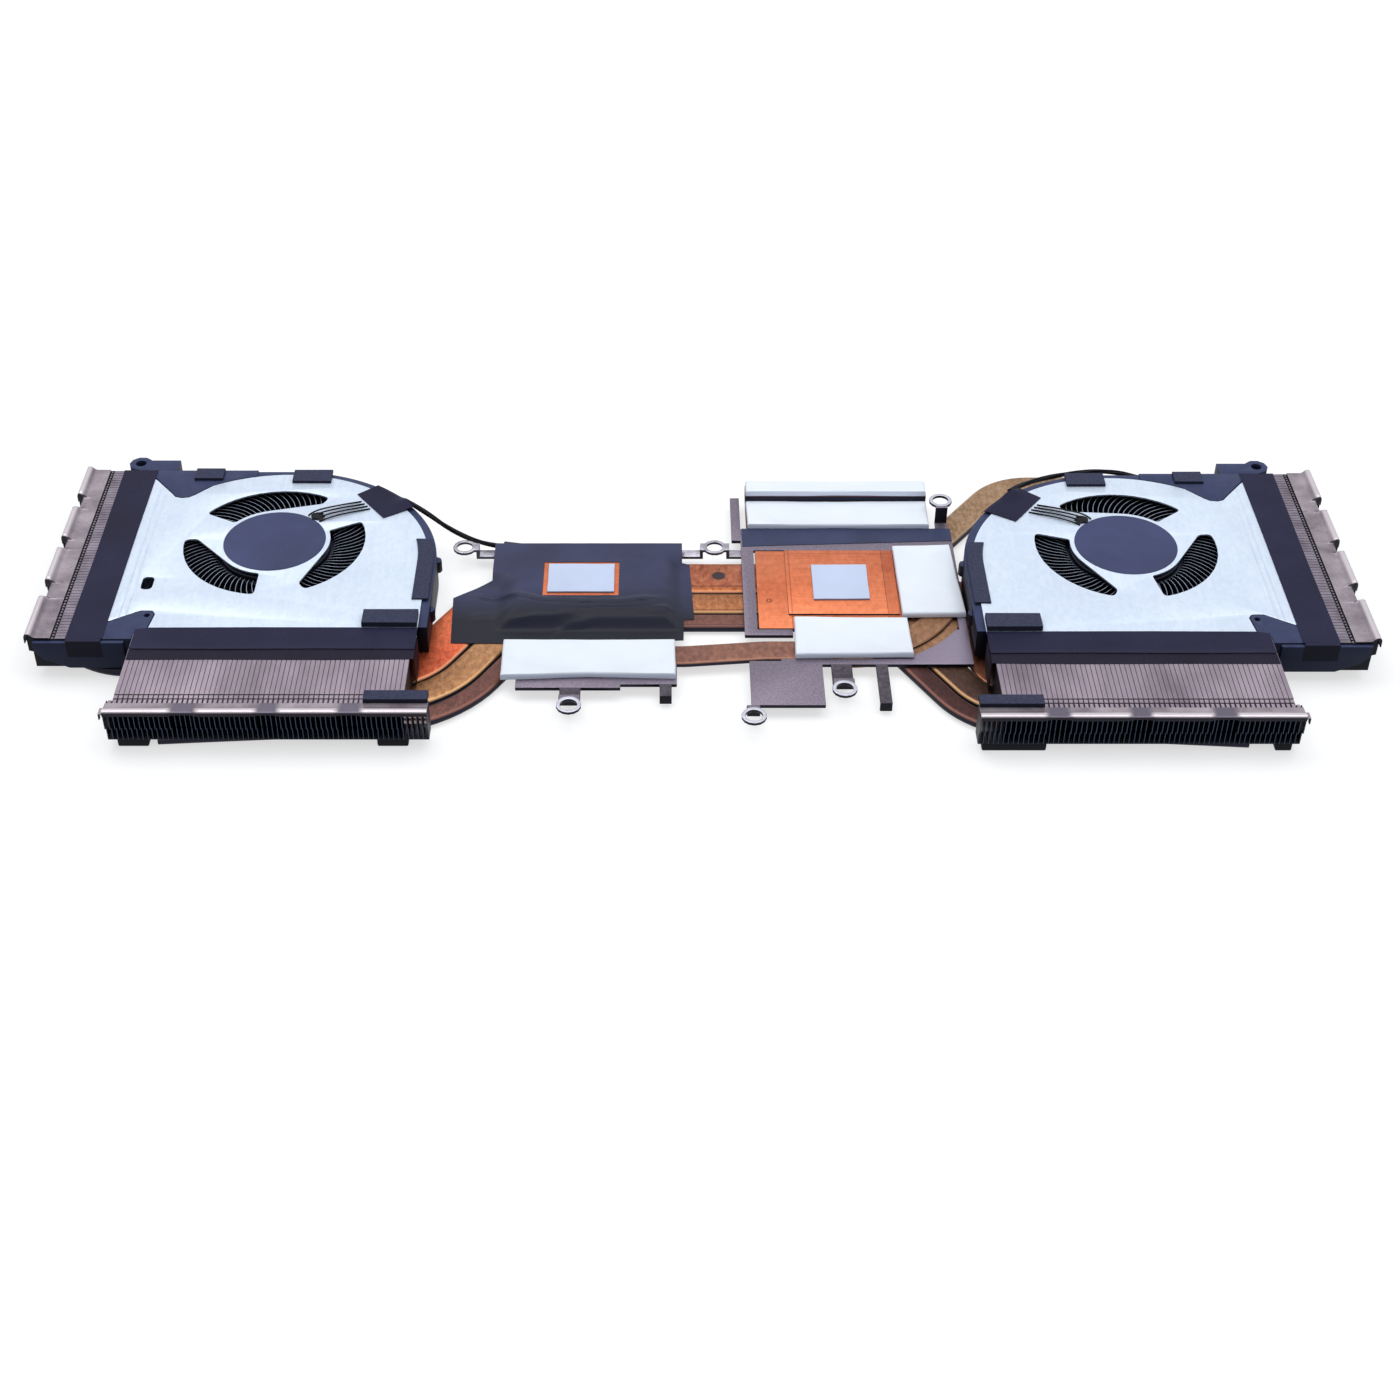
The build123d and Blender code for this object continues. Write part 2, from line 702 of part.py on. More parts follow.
def bridge_pipe():
    points = (
        (bridge_end_x[0], bridge_left_y),
        (bridge_bend_x[0], bridge_left_y),
        (bridge_bend_x[1], bridge_right_y),
        (bridge_end_x[1], bridge_right_y),
    )
    run = flat_pipe(points, (bridge_bend_r,) * 2, bridge_pipe_w, block_top - bridge_thick, bridge_thick)
    turn_r, half = opening_y - bridge_right_y, bridge_pipe_w / 2
    sector = polygon(((0, 0), (0, -2 * turn_r), polar(2 * turn_r, bridge_turn_end)))
    turn = Pos(opening_x, opening_y) * ((Circle(turn_r + half) - Circle(turn_r - half)) & sector)
    right, front = graphics_plate_x[1] + bridge_clear, graphics_plate_y[0] - bridge_clear
    turn -= rect(graphics_plate_x[0], right, front, graphics_plate_y[1])
    return run + slab(turn, pipe_height + bridge_clear, block_top)


def rear_pipe():
    run_x = fan_x + side_run_x
    points = (
        (rear_pipe_start, rear_pipe_block_y),
        (rear_pipe_bend_x, rear_pipe_block_y),
        (rear_pipe_rim_x, rear_pipe_y),
        (run_x, rear_pipe_y),
        (run_x, right_fan_y + rear_pipe_front),
    )
    return flat_pipe(points, (side_bend_r, side_bend_r, side_bend_r), rear_pipe_w)


# Spring tabs: a flat foot, a riser and a raised screw ring

def ring_tab(x, y, turn, foot, width=tab_width, rise=ring_rise):
    level = pipe_height + rise
    half = width / 2
    tab = slab(RegularPolygon(ring_r, ring_facets), level, level + tab_thick)
    tab += block(0, ring_r + tab_thick, -half, half, level, level + tab_thick)
    tab += block(ring_r, ring_r + tab_thick, -half, half, pipe_height, level)
    tab += block(ring_r, ring_r + foot, -half, half, pipe_height, pipe_height + tab_thick)
    tab -= tube(ring_hole_r, 0, level - cut_margin, level + tab_thick + cut_margin)
    return Pos(x, y) * Rot(0, 0, turn) * tab


def hook(x0, x1, start, end):
    arm = block(x0, x1, end, start, pipe_height, pipe_height + tab_thick)
    return arm + block(x0, x1, end - tab_thick, end, hook_bottom, pipe_height + tab_thick)


# Processor block

def processor_plate():
    return block(*processor_x, *processor_y, pipe_height, block_plate_top)


def processor_bracket():
    low, high = strap_y - tab_width / 2, strap_y + tab_width / 2
    top = pipe_height + tab_thick
    bracket = ring_tab(left_ring_x, strap_y, 0, processor_x[0] - left_ring_x - ring_r)
    bracket += block(*processor_x, processor_y[1], high, pipe_height, top)
    bracket += block(processor_x[1], bridge_ring_x - ring_r, low, high, pipe_height, top)
    bracket += ring_tab(bridge_ring_x, strap_y, 180, tab_thick)
    bracket += ring_tab(bridge_ring_x, strap_y, 0, graphics_x[0] - bridge_ring_x - ring_r)
    return bracket - tube(ring_hole_r, 0, top, block_plate_top + ring_rise, bridge_ring_x, strap_y)


def processor_bar():
    x0, x1, y0 = processor_bar_x[0], processor_bar_x[1], processor_bar_front
    rear = bridge_left_y - bridge_pipe_w / 2
    bar = block(x0, bar_notch_x, y0, rear, pipe_height, block_top)
    bar += block(bar_notch_x, x1, y0 + bar_notch, rear, pipe_height, block_top)
    bar += ring_tab(front_ring_x, front_ring_y, 90, y0 - front_ring_y - ring_r, wide_tab)
    return bar + hook(*processor_hook_x, y0 + bar_notch, processor_hook_end)


def processor_tape():
    rear, front = processor_tape_y[1], processor_tape_y[0]
    low, high = pipe_height, block_plate_top
    profile = polygon((
        (rear, high),
        (rear, high + tape_thick),
        (tape_slope[0], high + tape_thick),
        (tape_slope[1], low + tape_thick),
        (front, low + tape_thick),
        (front, low),
        (tape_slope[1] - tape_thick, low),
        (tape_slope[0] - tape_thick, high),
    ))
    side = Plane((processor_tape_x[0], 0, 0), x_dir=(0, 1, 0), z_dir=(1, 0, 0))
    tape = extrude(side * profile, processor_tape_x[1] - processor_tape_x[0])
    tape += block(tape_flap[0], processor_tape_x[0], tape_flap[1], tape_flap[2], low, low + tape_thick)
    return tape - block(*processor_window, high - cut_margin, high + cut_margin)


def processor_pad():
    x0, x1, y0, y1 = processor_window
    edge = processor_pad_margin
    return block(x0 + edge, x1 - edge, y0 + edge, y1 - edge, block_plate_top, block_plate_top + die_pad_thick)


def white_pad(area, bottom, thick):
    return block(*area, bottom, bottom + thick)


# Graphics block

def graphics_bracket():
    x0, x1 = graphics_x
    y0, y1 = graphics_y
    lip_rear = bridge_right_y - bridge_pipe_w / 2
    sheet = rect(x0, x1, graphics_step_y, y1)
    sheet += rect(front_pad[1], x1, y0, graphics_step_y)
    sheet += rect(lip_start, x1, y0, lip_rear)
    sheet += rect(*tab_plate)
    sheet += rect(*rear_arm)
    sheet -= rect(*window)
    bay = Pos(opening_x, opening_y) * Circle(opening_radius)
    sheet -= bay & rect(front_pad[0], window[1], lip_rear, window[3])
    bracket = slab(sheet, pipe_height, block_top)
    bracket += ring_tab(tab_ring_x, tab_ring_y, 90, tab_plate[2] - tab_ring_y - ring_r)
    bracket += ring_tab(lip_ring_x, lip_ring_y, 90, y0 - lip_ring_y - ring_r, wide_tab)
    tall_foot = tall_ring_y - ring_r - y1
    bracket += ring_tab(tall_ring_x, tall_ring_y, -90, tall_foot, tab_width, tall_ring_rise)
    return bracket + hook(*graphics_hook_x, y0, graphics_hook_end)


def graphics_plate():
    plate = block(*graphics_plate_x, *graphics_plate_y, pipe_height, block_top)
    return plate + block(*pedestal_x, *pedestal_y, block_top, block_top + pedestal_rise)


def graphics_spreader():
    x0, x1, y0, y1 = spreader
    bar = block(x0, x1, y0, y1, pipe_height, block_top)
    return bar + block(x0, x1, spreader_step_y, y1, block_top, block_top + spreader_step)


def graphics_tape():
    return block(*graphics_tape_x, *graphics_tape_y, block_top, block_top + tape_thick)


# Placing of the fan modules and the files

def on_right(shape):
    place = Pos(fan_x, right_fan_y)
    return [place * solid for solid in shape] if isinstance(shape, list) else place * shape


def on_left(shape):
    place = Pos(-fan_x, left_fan_y)
    if isinstance(shape, list):
        return [place * mirror(solid, about=Plane.YZ) for solid in shape]
    return place * mirror(shape, about=Plane.YZ)


def fan_module(with_slot, intake_turn, cable_points):
    return {
        "fan_floor": fan_floor(),
        "fan_frame": fan_frame(),
        "fan_plate": fan_plate(with_slot, intake_turn),
        "impeller": impeller(),
        "rotor_shaft": rotor_shaft(),
        "magnet_ring": magnet_ring(),
        "bearing_sleeve": bearing_sleeve(),
        "stator": stator(),
        "hub_label": hub_label(),
        "motor_wires": motor_wires(),
        "wire_tape": wire_tape(),
        "fan_cable": cable(cable_points),
        "cable_plug": cable_plug(cable_points),
        "side_fins": side_fins(),
        "side_fin_cap": side_fin_cap(),
        "front_fins": front_fins(),
        "front_fin_cap": front_fin_cap(),
        "side_tape": side_tape(),
        "front_tape": front_tape(),
    }


def centre():
    step_area = (spreader[0], spreader[1], spreader[2], spreader_step_y)
    high_area = (spreader[0], spreader[1], spreader_step_y, spreader[3])
    return {
        "wide_pipe": wide_pipe(),
        "middle_pipe": cross_pipe(middle_step, middle_pipe_w, front_stack_right - middle_pipe_w),
        "narrow_pipe": cross_pipe(narrow_step, narrow_pipe_w, narrow_pipe_end, narrow_pipe_drift),
        "bridge_pipe": bridge_pipe(),
        "rear_pipe": rear_pipe(),
        "processor_bracket": processor_bracket(),
        "processor_bar": processor_bar(),
        "processor_plate": processor_plate(),
        "processor_tape": processor_tape(),
        "processor_pad": processor_pad(),
        "processor_supply_pad": white_pad(processor_supply, block_top, supply_pad_thick),
        "graphics_bracket": graphics_bracket(),
        "graphics_plate": graphics_plate(),
        "graphics_pad": white_pad(die_pad, block_top + pedestal_rise, die_pad_thick),
        "graphics_tape": graphics_tape(),
        "graphics_spreader": graphics_spreader(),
        "graphics_side_pad": white_pad(right_pad, block_top, supply_pad_thick),
        "graphics_front_pad": white_pad(front_pad, block_top, supply_pad_thick),
        "graphics_low_pad": white_pad(step_area, block_top, thin_pad),
        "graphics_high_pad": white_pad(high_area, block_top + spreader_step, thin_pad),
    }


def save(name, shape):
    whole = Compound(children=shape) if isinstance(shape, list) else shape
    export_step(whole, f"parts/{name}.step")


os.makedirs("parts", exist_ok=True)
for name, shape in fan_module(True, 0, left_cable()).items():
    save(f"left_{name}", on_left(shape))
for name, shape in fan_module(False, right_intake_turn, right_cable()).items():
    save(f"right_{name}", on_right(shape))
for name, shape in centre().items():
    save(name, shape)
save("foam_pads", on_left(foam_pads()) + on_right(foam_pads()))
save("rubber_feet", on_left(rubber_feet(left_feet)) + on_right(rubber_feet(right_feet)))
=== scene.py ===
import math
import bmesh
import bpy
from mathutils import Matrix, Vector, noise


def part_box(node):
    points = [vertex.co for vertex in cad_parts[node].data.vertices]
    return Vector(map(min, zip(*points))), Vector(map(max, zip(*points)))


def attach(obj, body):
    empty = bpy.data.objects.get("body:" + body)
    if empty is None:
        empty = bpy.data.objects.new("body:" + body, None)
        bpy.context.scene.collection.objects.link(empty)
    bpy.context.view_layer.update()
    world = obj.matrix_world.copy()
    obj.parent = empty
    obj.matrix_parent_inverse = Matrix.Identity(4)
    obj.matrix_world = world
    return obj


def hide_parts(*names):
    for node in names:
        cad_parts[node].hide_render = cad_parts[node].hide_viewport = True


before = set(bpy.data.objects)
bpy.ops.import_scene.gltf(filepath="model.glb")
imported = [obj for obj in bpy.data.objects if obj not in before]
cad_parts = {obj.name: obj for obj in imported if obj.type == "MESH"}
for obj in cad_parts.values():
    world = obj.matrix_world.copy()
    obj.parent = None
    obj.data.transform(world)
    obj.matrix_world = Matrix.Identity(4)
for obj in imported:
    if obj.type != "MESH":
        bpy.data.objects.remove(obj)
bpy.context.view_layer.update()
print("frame loaded")

milli = 0.001  # pieces are drawn in millimetres
sides = ("left", "right")
layout = {"fanX": 111.95, "leftY": 14.7, "rightY": 13.05, "rimY": -9.1, "top": 11.0, "pipeTop": 2.4}  # as in the CAD


def fanPlace(side):
    if side == "right":
        return Matrix.Translation((layout["fanX"], layout["rightY"], 0))
    return Matrix.Translation((-layout["fanX"], layout["leftY"], 0)) @ Matrix.Diagonal((-1, 1, 1, 1))


def linkPiece(name, bm, looks, replaces=(), body="base", sharp=35):
    mesh = bpy.data.meshes.new(name)
    bm.to_mesh(mesh)
    bm.free()
    for look in looks:
        mesh.materials.append(mats[look])
    mesh.shade_smooth()
    mesh.set_sharp_from_angle(angle=math.radians(sharp))
    piece = bpy.data.objects.new(name, mesh)
    bpy.context.scene.collection.objects.link(piece)
    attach(piece, body)
    if replaces:
        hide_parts(*replaces)
    return piece


def addPiece(name, bm, looks, replaces=(), place=None, sharp=35, body="base"):
    bmesh.ops.recalc_face_normals(bm, faces=bm.faces)
    if place is not None:
        bmesh.ops.transform(bm, matrix=place, verts=bm.verts)
        if place.determinant() < 0:
            bmesh.ops.reverse_faces(bm, faces=bm.faces)
    bmesh.ops.scale(bm, vec=(milli, milli, milli), verts=bm.verts)
    return linkPiece(name, bm, looks, replaces, body, sharp)


def newVerts(made):
    return [item for item in made["geom"] if isinstance(item, bmesh.types.BMVert)]


def addLoop(bm, points, closed=True):
    verts = [bm.verts.new(point) for point in points]
    edges = [bm.edges.new(pair) for pair in zip(verts, verts[1:] + (verts[:1] if closed else []))]
    return verts, edges


def addBox(bm, low, high, matIndex=0):
    low, high = Vector(low), Vector(high)
    place = Matrix.Translation((low + high) / 2) @ Matrix.Diagonal((*(high - low), 1))
    made = bmesh.ops.create_cube(bm, size=1.0, matrix=place)["verts"]
    for face in {face for vert in made for face in vert.link_faces}:
        face.material_index = matIndex


def addLoft(bm, rings, matIndex=0):  # one closed loop, extruded from ring to ring
    verts, edges = addLoop(bm, rings[0])
    faces = [bm.faces.new(verts)]
    for ring in rings[1:]:
        fresh = set(newVerts(bmesh.ops.extrude_edge_only(bm, edges=edges)))
        verts = [next(edge.other_vert(vert) for edge in vert.link_edges if edge.other_vert(vert) in fresh)
                 for vert in verts]
        edges = [bm.edges.get(pair) for pair in zip(verts, verts[1:] + verts[:1])]
        faces += [edge.link_faces[0] for edge in edges]
        for vert, point in zip(verts, ring):
            vert.co = point
    faces.append(bm.faces.new(verts))
    for face in faces:
        face.material_index = matIndex
    return faces


def spinProfile(bm, profile, closed, steps=96):
    verts, edges = addLoop(bm, [(radius, 0, z) for radius, z in profile], closed)
    bmesh.ops.spin(bm, geom=verts + edges, cent=(0, 0, 0), axis=(0, 0, 1), dvec=(0, 0, 0), angle=2 * math.pi,
                   steps=steps, use_merge=True, use_duplicate=False)
    bmesh.ops.remove_doubles(bm, verts=bm.verts, dist=1e-5)


def thicken(bm, thick):
    made = bmesh.ops.extrude_face_region(bm, geom=bm.faces[:])
    bmesh.ops.translate(bm, vec=(0, 0, thick), verts=newVerts(made))


def cutGrid(bm, step):
    for axis, normal in ((0, Vector((1, 0, 0))), (1, Vector((0, 1, 0)))):
        places = [vert.co[axis] for vert in bm.verts]
        low, high = min(places), max(places)
        cuts = max(1, round((high - low) / step))
        for i in range(1, cuts):
            spot = normal * (low + (high - low) * i / cuts)
            geom = bm.verts[:] + bm.edges[:] + bm.faces[:]
            bmesh.ops.bisect_plane(bm, geom=geom, dist=1e-5, plane_co=spot, plane_no=normal)


def smoothStep(value):
    value = min(1, max(0, value))
    return value * value * (3 - 2 * value)


def wave(x, y, size, seed=0.0):
    return noise.noise(Vector((x / size, y / size, seed)))


def ripple(x, y, height, size, seed):
    return height * max(0, wave(x, y, size, seed))


def softCopy(node, width, look, shadedZones=()):
    bm = bmesh.new()
    bm.from_mesh(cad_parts[node].data)
    bmesh.ops.remove_doubles(bm, verts=bm.verts, dist=1e-6)
    bmesh.ops.dissolve_limit(bm, angle_limit=math.radians(1), verts=bm.verts, edges=bm.edges)
    sharp = [edge for edge in bm.edges if len(edge.link_faces) == 2 and edge.calc_face_angle(0) > math.radians(30)]
    bmesh.ops.bevel(bm, geom=sharp, offset=width * milli, offset_type="OFFSET", segments=2, profile=0.5,
                    affect="EDGES", clamp_overlap=True, material=-1)
    for face in bm.faces:
        spot = face.calc_center_median() / milli
        # faces in these zones take the darker steel as painted shade
        if any(x0 < spot.x < x1 and y0 < spot.y < y1 for x0, x1, y0, y1 in shadedZones):
            face.material_index = 1
    return linkPiece(f"soft_{node}", bm, [look, "shadedSteel"], (node,))


def feed(tree, socket, value):  # a link from another node, or a plain value
    if isinstance(value, bpy.types.NodeSocket):
        tree.links.new(value, socket)
    else:
        socket.default_value = (*value, 1) if socket.type == "RGBA" else value


def addNode(tree, kind, feeds=(), **settings):
    node = tree.nodes.new(kind)
    for name, value in settings.items():
        setattr(node, name, value)
    for name, value in dict(feeds).items():
        feed(tree, node.inputs[name], value)
    return node


def objectSpace(tree, stretch=(1, 1, 1)):
    place = addNode(tree, "ShaderNodeTexCoord").outputs["Object"]
    return addNode(tree, "ShaderNodeMapping", {"Vector": place, "Scale": stretch}).outputs["Vector"]


def noiseField(tree, scale, detail=3.0, stretch=(1, 1, 1), rough=0.55):
    feeds = {"Vector": objectSpace(tree, stretch), "Scale": scale, "Detail": detail, "Roughness": rough}
    return addNode(tree, "ShaderNodeTexNoise", feeds).outputs["Fac"]


def cellField(tree, scale, stretch=(1, 1, 1)):
    feeds = {"Vector": objectSpace(tree, stretch), "Scale": scale}
    return addNode(tree, "ShaderNodeTexVoronoi", feeds, feature="F1").outputs


def ramp(tree, fac, stops):
    node = addNode(tree, "ShaderNodeValToRGB", {"Fac": fac})
    elements = node.color_ramp.elements
    while len(elements) < len(stops):
        elements.new(0.5)
    for element, (place, colour) in zip(elements, stops):
        element.position = place
        element.color = (*colour, 1)
    return node.outputs["Color"]


def grey(value):
    return (value, value, value)


def scaled(colour, factor):
    return tuple(min(1.0, value * factor) for value in colour)


def mixColour(tree, fac, first, second, blend="MIX"):
    feeds = {"Factor": fac, "A": first, "B": second}
    return addNode(tree, "ShaderNodeMix", feeds, data_type="RGBA", blend_type=blend).outputs["Result"]


def maths(tree, operation, first, second=0.0, clamp=False):
    return addNode(tree, "ShaderNodeMath", {0: first, 1: second}, operation=operation, use_clamp=clamp).outputs[0]


def axisValue(tree, axis):
    place = addNode(tree, "ShaderNodeTexCoord").outputs["Object"]
    return addNode(tree, "ShaderNodeSeparateXYZ", {0: place}).outputs[axis]


def fromFanCentre(tree):
    return maths(tree, "SUBTRACT", maths(tree, "ABSOLUTE", axisValue(tree, "X")), layout["fanX"] * milli)


def near(tree, place, radius, soft):  # 1 inside the radius, fading to 0
    feeds = {0: objectSpace(tree, (1, 1, 0)), 1: (*place, 0)}
    away = addNode(tree, "ShaderNodeVectorMath", feeds, operation="DISTANCE")
    return maths(tree, "DIVIDE", maths(tree, "SUBTRACT", radius + soft, away.outputs["Value"]), soft, True)


def inRange(tree, axis, low, high, soft, mirrored=False):  # 1 between two places in millimetres
    place = fromFanCentre(tree) if mirrored else axisValue(tree, axis)
    above = maths(tree, "DIVIDE", maths(tree, "SUBTRACT", place, low * milli), soft * milli, True)
    below = maths(tree, "DIVIDE", maths(tree, "SUBTRACT", high * milli, place), soft * milli, True)
    return maths(tree, "MULTIPLY", above, below)


def bump(tree, shader, height, strength, distance):
    feeds = {"Strength": strength, "Distance": distance, "Height": height}
    feed(tree, shader.inputs["Normal"], addNode(tree, "ShaderNodeBump", feeds).outputs["Normal"])


def newMaterial(name, roughness, metallic=0.0, specular=0.5):
    mat = bpy.data.materials.new(name)
    mat.use_nodes = True
    shader = mat.node_tree.nodes["Principled BSDF"]
    for key, value in (("Roughness", roughness), ("Metallic", metallic), ("Specular IOR Level", specular)):
        shader.inputs[key].default_value = value
    return mat, mat.node_tree, shader


# facingUp is 1 on faces that point up or down and 0 on upright faces; it masks painted shade on upright faces and
# painted highlights on rounded edges
def facingUp(tree, low=0.25, high=0.8):
    normal = addNode(tree, "ShaderNodeNewGeometry").outputs["Normal"]
    rise = addNode(tree, "ShaderNodeSeparateXYZ", {0: normal}).outputs["Z"]
    return ramp(tree, maths(tree, "ABSOLUTE", rise), ((low, grey(0)), (high, grey(1))))


# sets the base colour; a given side colour goes on upright faces as painted shade
def setColourAndSideShade(tree, shader, base, side=None):
    if side is not None:
        base = mixColour(tree, facingUp(tree), side, base)
    tree.links.new(base, shader.inputs["Base Color"])


# side is painted shade on the plate's upright edges
plateLook = {"light": (0.72, 0.81, 0.95), "dark": (0.62, 0.71, 0.86), "side": (0.26, 0.29, 0.36), "roughness": 0.4,
             "spangle": 900, "streak": 1300, "cloud": 55, "beads": (0.0326, 0.0342), "beadHalf": 0.0005}


def plateMaterial():
    p = plateLook
    mat, tree, shader = newMaterial("galvanisedPlate", p["roughness"], 0.25)
    cells = cellField(tree, p["spangle"], (1, 0.7, 1))["Color"]
    streak = noiseField(tree, p["streak"], 3.0, (1, 0.10, 1))
    cloud = noiseField(tree, p["cloud"], 3.0)
    base = mixColour(tree, ramp(tree, cells, ((0.2, grey(0)), (0.8, grey(1)))), p["dark"], p["light"])
    base = mixColour(tree, 0.4, base, ramp(tree, streak, ((0.3, scaled(p["dark"], 0.94)), (0.7, p["light"]))))
    base = mixColour(tree, 0.3, base, ramp(tree, cloud, ((0.35, p["dark"]), (0.65, p["light"]))))
    # upright edges take the side colour as painted shade
    setColourAndSideShade(tree, shader, base, p["side"])
    height = maths(tree, "MULTIPLY", streak, 0.06)
    for place in p["beads"]:  # folded lines beside the side tape
        away = maths(tree, "ABSOLUTE", maths(tree, "SUBTRACT", fromFanCentre(tree), place))
        bead = maths(tree, "SUBTRACT", 1.0, maths(tree, "DIVIDE", away, p["beadHalf"]), True)
        height = maths(tree, "ADD", height, bead)
    bump(tree, shader, height, 0.5, 0.0003)
    return mat


copperLook = {"cloud": 60, "speck": 900, "mottle": 800, "brush": 1500, "grain": 1500, "flankShade": (0.016, 0.017, 0.032),
              "ink": (0.05, 0.035, 0.04), "inkR": 0.0016, "film": (0.012, 0.012, 0.022)}


def copperMaterial(name, dark, middle, bright, roughness, stretch=(0.6, 0.7, 1), tape=None, spot=None, brushed=0.0,
                   tintsAndShade=(), mark=None):
    c = copperLook
    mat, tree, shader = newMaterial(name, roughness, 0.6, 0.3)
    cloud = noiseField(tree, c["cloud"], 5.0, stretch, 0.5)
    base = ramp(tree, cloud, ((0.26, dark), (0.50, middle), (0.72, bright)))
    specks = ramp(tree, noiseField(tree, c["speck"], 2.0), ((0.60, grey(0)), (0.74, grey(0.55))))
    base = mixColour(tree, specks, base, dark)
    mottle = noiseField(tree, c["mottle"], 4.0, (1, 0.6, 1), 0.7)
    base = mixColour(tree, 0.45, base, ramp(tree, mottle, ((0.34, dark), (0.50, middle), (0.66, bright))))
    if brushed:
        lines = noiseField(tree, c["brush"], 2.0, (0.06, 1, 1))
        base = mixColour(tree, brushed, base, ramp(tree, lines, ((0.35, dark), (0.65, bright))))
    for axis, low, high, soft, colour in tintsAndShade:  # colour bands: heat tints, pressed lines and darker bands; under the fin stacks the darkening is painted shade
        base = mixColour(tree, inRange(tree, axis, low, high, soft), base, colour, "MULTIPLY")
    if spot is not None:  # small ink spot
        base = mixColour(tree, near(tree, spot, c["inkR"], 0.0004), base, c["ink"])
    if mark is not None:  # small stamped ring
        inside = near(tree, mark, 0.0003, 0.0002)
        circle = maths(tree, "SUBTRACT", near(tree, mark, 0.0007, 0.0002), inside, True)
        base = mixColour(tree, circle, base, scaled(dark, 0.5))
    base = mixColour(tree, facingUp(tree, 0.80, 0.985), scaled(bright, 1.05), base)  # painted highlight along the rounded edges
    # painted shade on the pipes' upright flanks
    base = mixColour(tree, facingUp(tree, 0.40, 0.80), c["flankShade"], base)
    if tape is not None:  # the far end of the pipe, beyond the given x, is near-black
        ragged = maths(tree, "MULTIPLY", noiseField(tree, 90), 0.001)
        start = maths(tree, "ADD", axisValue(tree, "X"), ragged)
        base = mixColour(tree, maths(tree, "LESS_THAN", start, tape), base, c["film"])
    setColourAndSideShade(tree, shader, base)
    rough = ramp(tree, cloud, ((0.3, grey(roughness + 0.14)), (0.7, grey(roughness))))
    tree.links.new(rough, shader.inputs["Roughness"])
    bump(tree, shader, noiseField(tree, c["grain"], 2.0, stretch), 0.14, 0.0002)
    return mat


metalLook = {"grain": 2600, "ringR": 0.0029, "ring": (0.50, 0.50, 0.58)}


def metalMaterial(name, dark, light, side, size, roughness, stretch=(1, 1, 1), sheen=None, rings=()):
    m = metalLook
    mat, tree, shader = newMaterial(name, roughness, 0.6, 0.3)
    base = ramp(tree, noiseField(tree, size, 4.0, stretch), ((0.32, dark), (0.68, light)))
    if sheen is not None:  # painted sheen, paler towards one corner
        corner = maths(tree, "MULTIPLY", near(tree, sheen[0], 0.004, 0.03), 0.8)
        base = mixColour(tree, corner, base, sheen[1])
    for place in rings:  # paler disks on the screw rings
        base = mixColour(tree, near(tree, place, m["ringR"], 0.0003), base, m["ring"])
    # upright faces take the side colour as painted shade
    setColourAndSideShade(tree, shader, base, side)
    bump(tree, shader, noiseField(tree, m["grain"], 2.0), 0.12, 0.0002)
    return mat


# crest is a painted highlight; gap, slope and side are painted shade; stain is real staining
capLook = {"dark": (0.17, 0.14, 0.17), "light": (0.40, 0.35, 0.39), "crest": (0.66, 0.60, 0.64),
           "gap": (0.125, 0.110, 0.150), "slope": (0.13, 0.11, 0.14), "side": (0.016, 0.014, 0.020),
           "stain": (0.10, 0.05, 0.05)}


def capMaterial(name, crest, gaps):
    c = capLook
    mat, tree, shader = newMaterial(name, 0.34, 0.6, 0.3)
    base = ramp(tree, noiseField(tree, 110, 4.0), ((0.32, c["dark"]), (0.68, c["light"])))
    stains = ramp(tree, noiseField(tree, 1300, 2.0), ((0.64, grey(0)), (0.74, grey(0.6))))
    base = mixColour(tree, stains, base, c["stain"])
    for low, high in gaps:  # painted shade where the strip dips between its lips
        base = mixColour(tree, inRange(tree, "X", low - 0.6, high + 0.6, 1.6, True), base, c["gap"])
    # sloping faces take a darker colour as painted shade
    base = mixColour(tree, facingUp(tree, 0.55, 0.97), c["slope"], base)
    # raised lip crests take a paler colour as painted highlight
    above = maths(tree, "SUBTRACT", axisValue(tree, "Z"), crest[0] * milli)
    raised = maths(tree, "DIVIDE", above, (crest[1] - crest[0]) * milli, True)
    base = mixColour(tree, maths(tree, "MULTIPLY", raised, 0.8), base, c["crest"])
    # upright faces take the side colour as painted shade
    setColourAndSideShade(tree, shader, base, c["side"])
    bump(tree, shader, noiseField(tree, metalLook["grain"], 2.0), 0.12, 0.0002)
    return mat


tapeLook = {"cloud": 60, "dust": 1600, "dustColour": (0.22, 0.24, 0.33), "crinkle": 240}


def tapeMaterial(name, colour, roughness, crinkle, specular=0.22, slope=(0.25, 0.8), deep=None):
    t = tapeLook
    mat, tree, shader = newMaterial(name, roughness, 0.0, specular)
    cloud = noiseField(tree, t["cloud"], 3.0)
    base = ramp(tree, cloud, ((0.3, scaled(colour, 0.8)), (0.75, scaled(colour, 1.3))))
    dust = ramp(tree, noiseField(tree, t["dust"], 2.0), ((0.72, grey(0)), (0.78, grey(0.3))))
    base = mixColour(tree, dust, base, t["dustColour"])
    if deep is not None:  # painted shade, darker towards the front
        base = mixColour(tree, inRange(tree, "Y", -60, deep[1], deep[1] - deep[0]), base, scaled(colour, 0.20))
    # sloping and upright faces take a darker copy as painted shade
    setColourAndSideShade(tree, shader, mixColour(tree, facingUp(tree, *slope), scaled(colour, 0.35), base))
    bump(tree, shader, noiseField(tree, t["crinkle"], 4.0), crinkle, 0.0004)
    return mat


padLook = {"cloud": 90, "dots": 95, "dot": (0.2, 0.2, 0.26), "grain": 500}


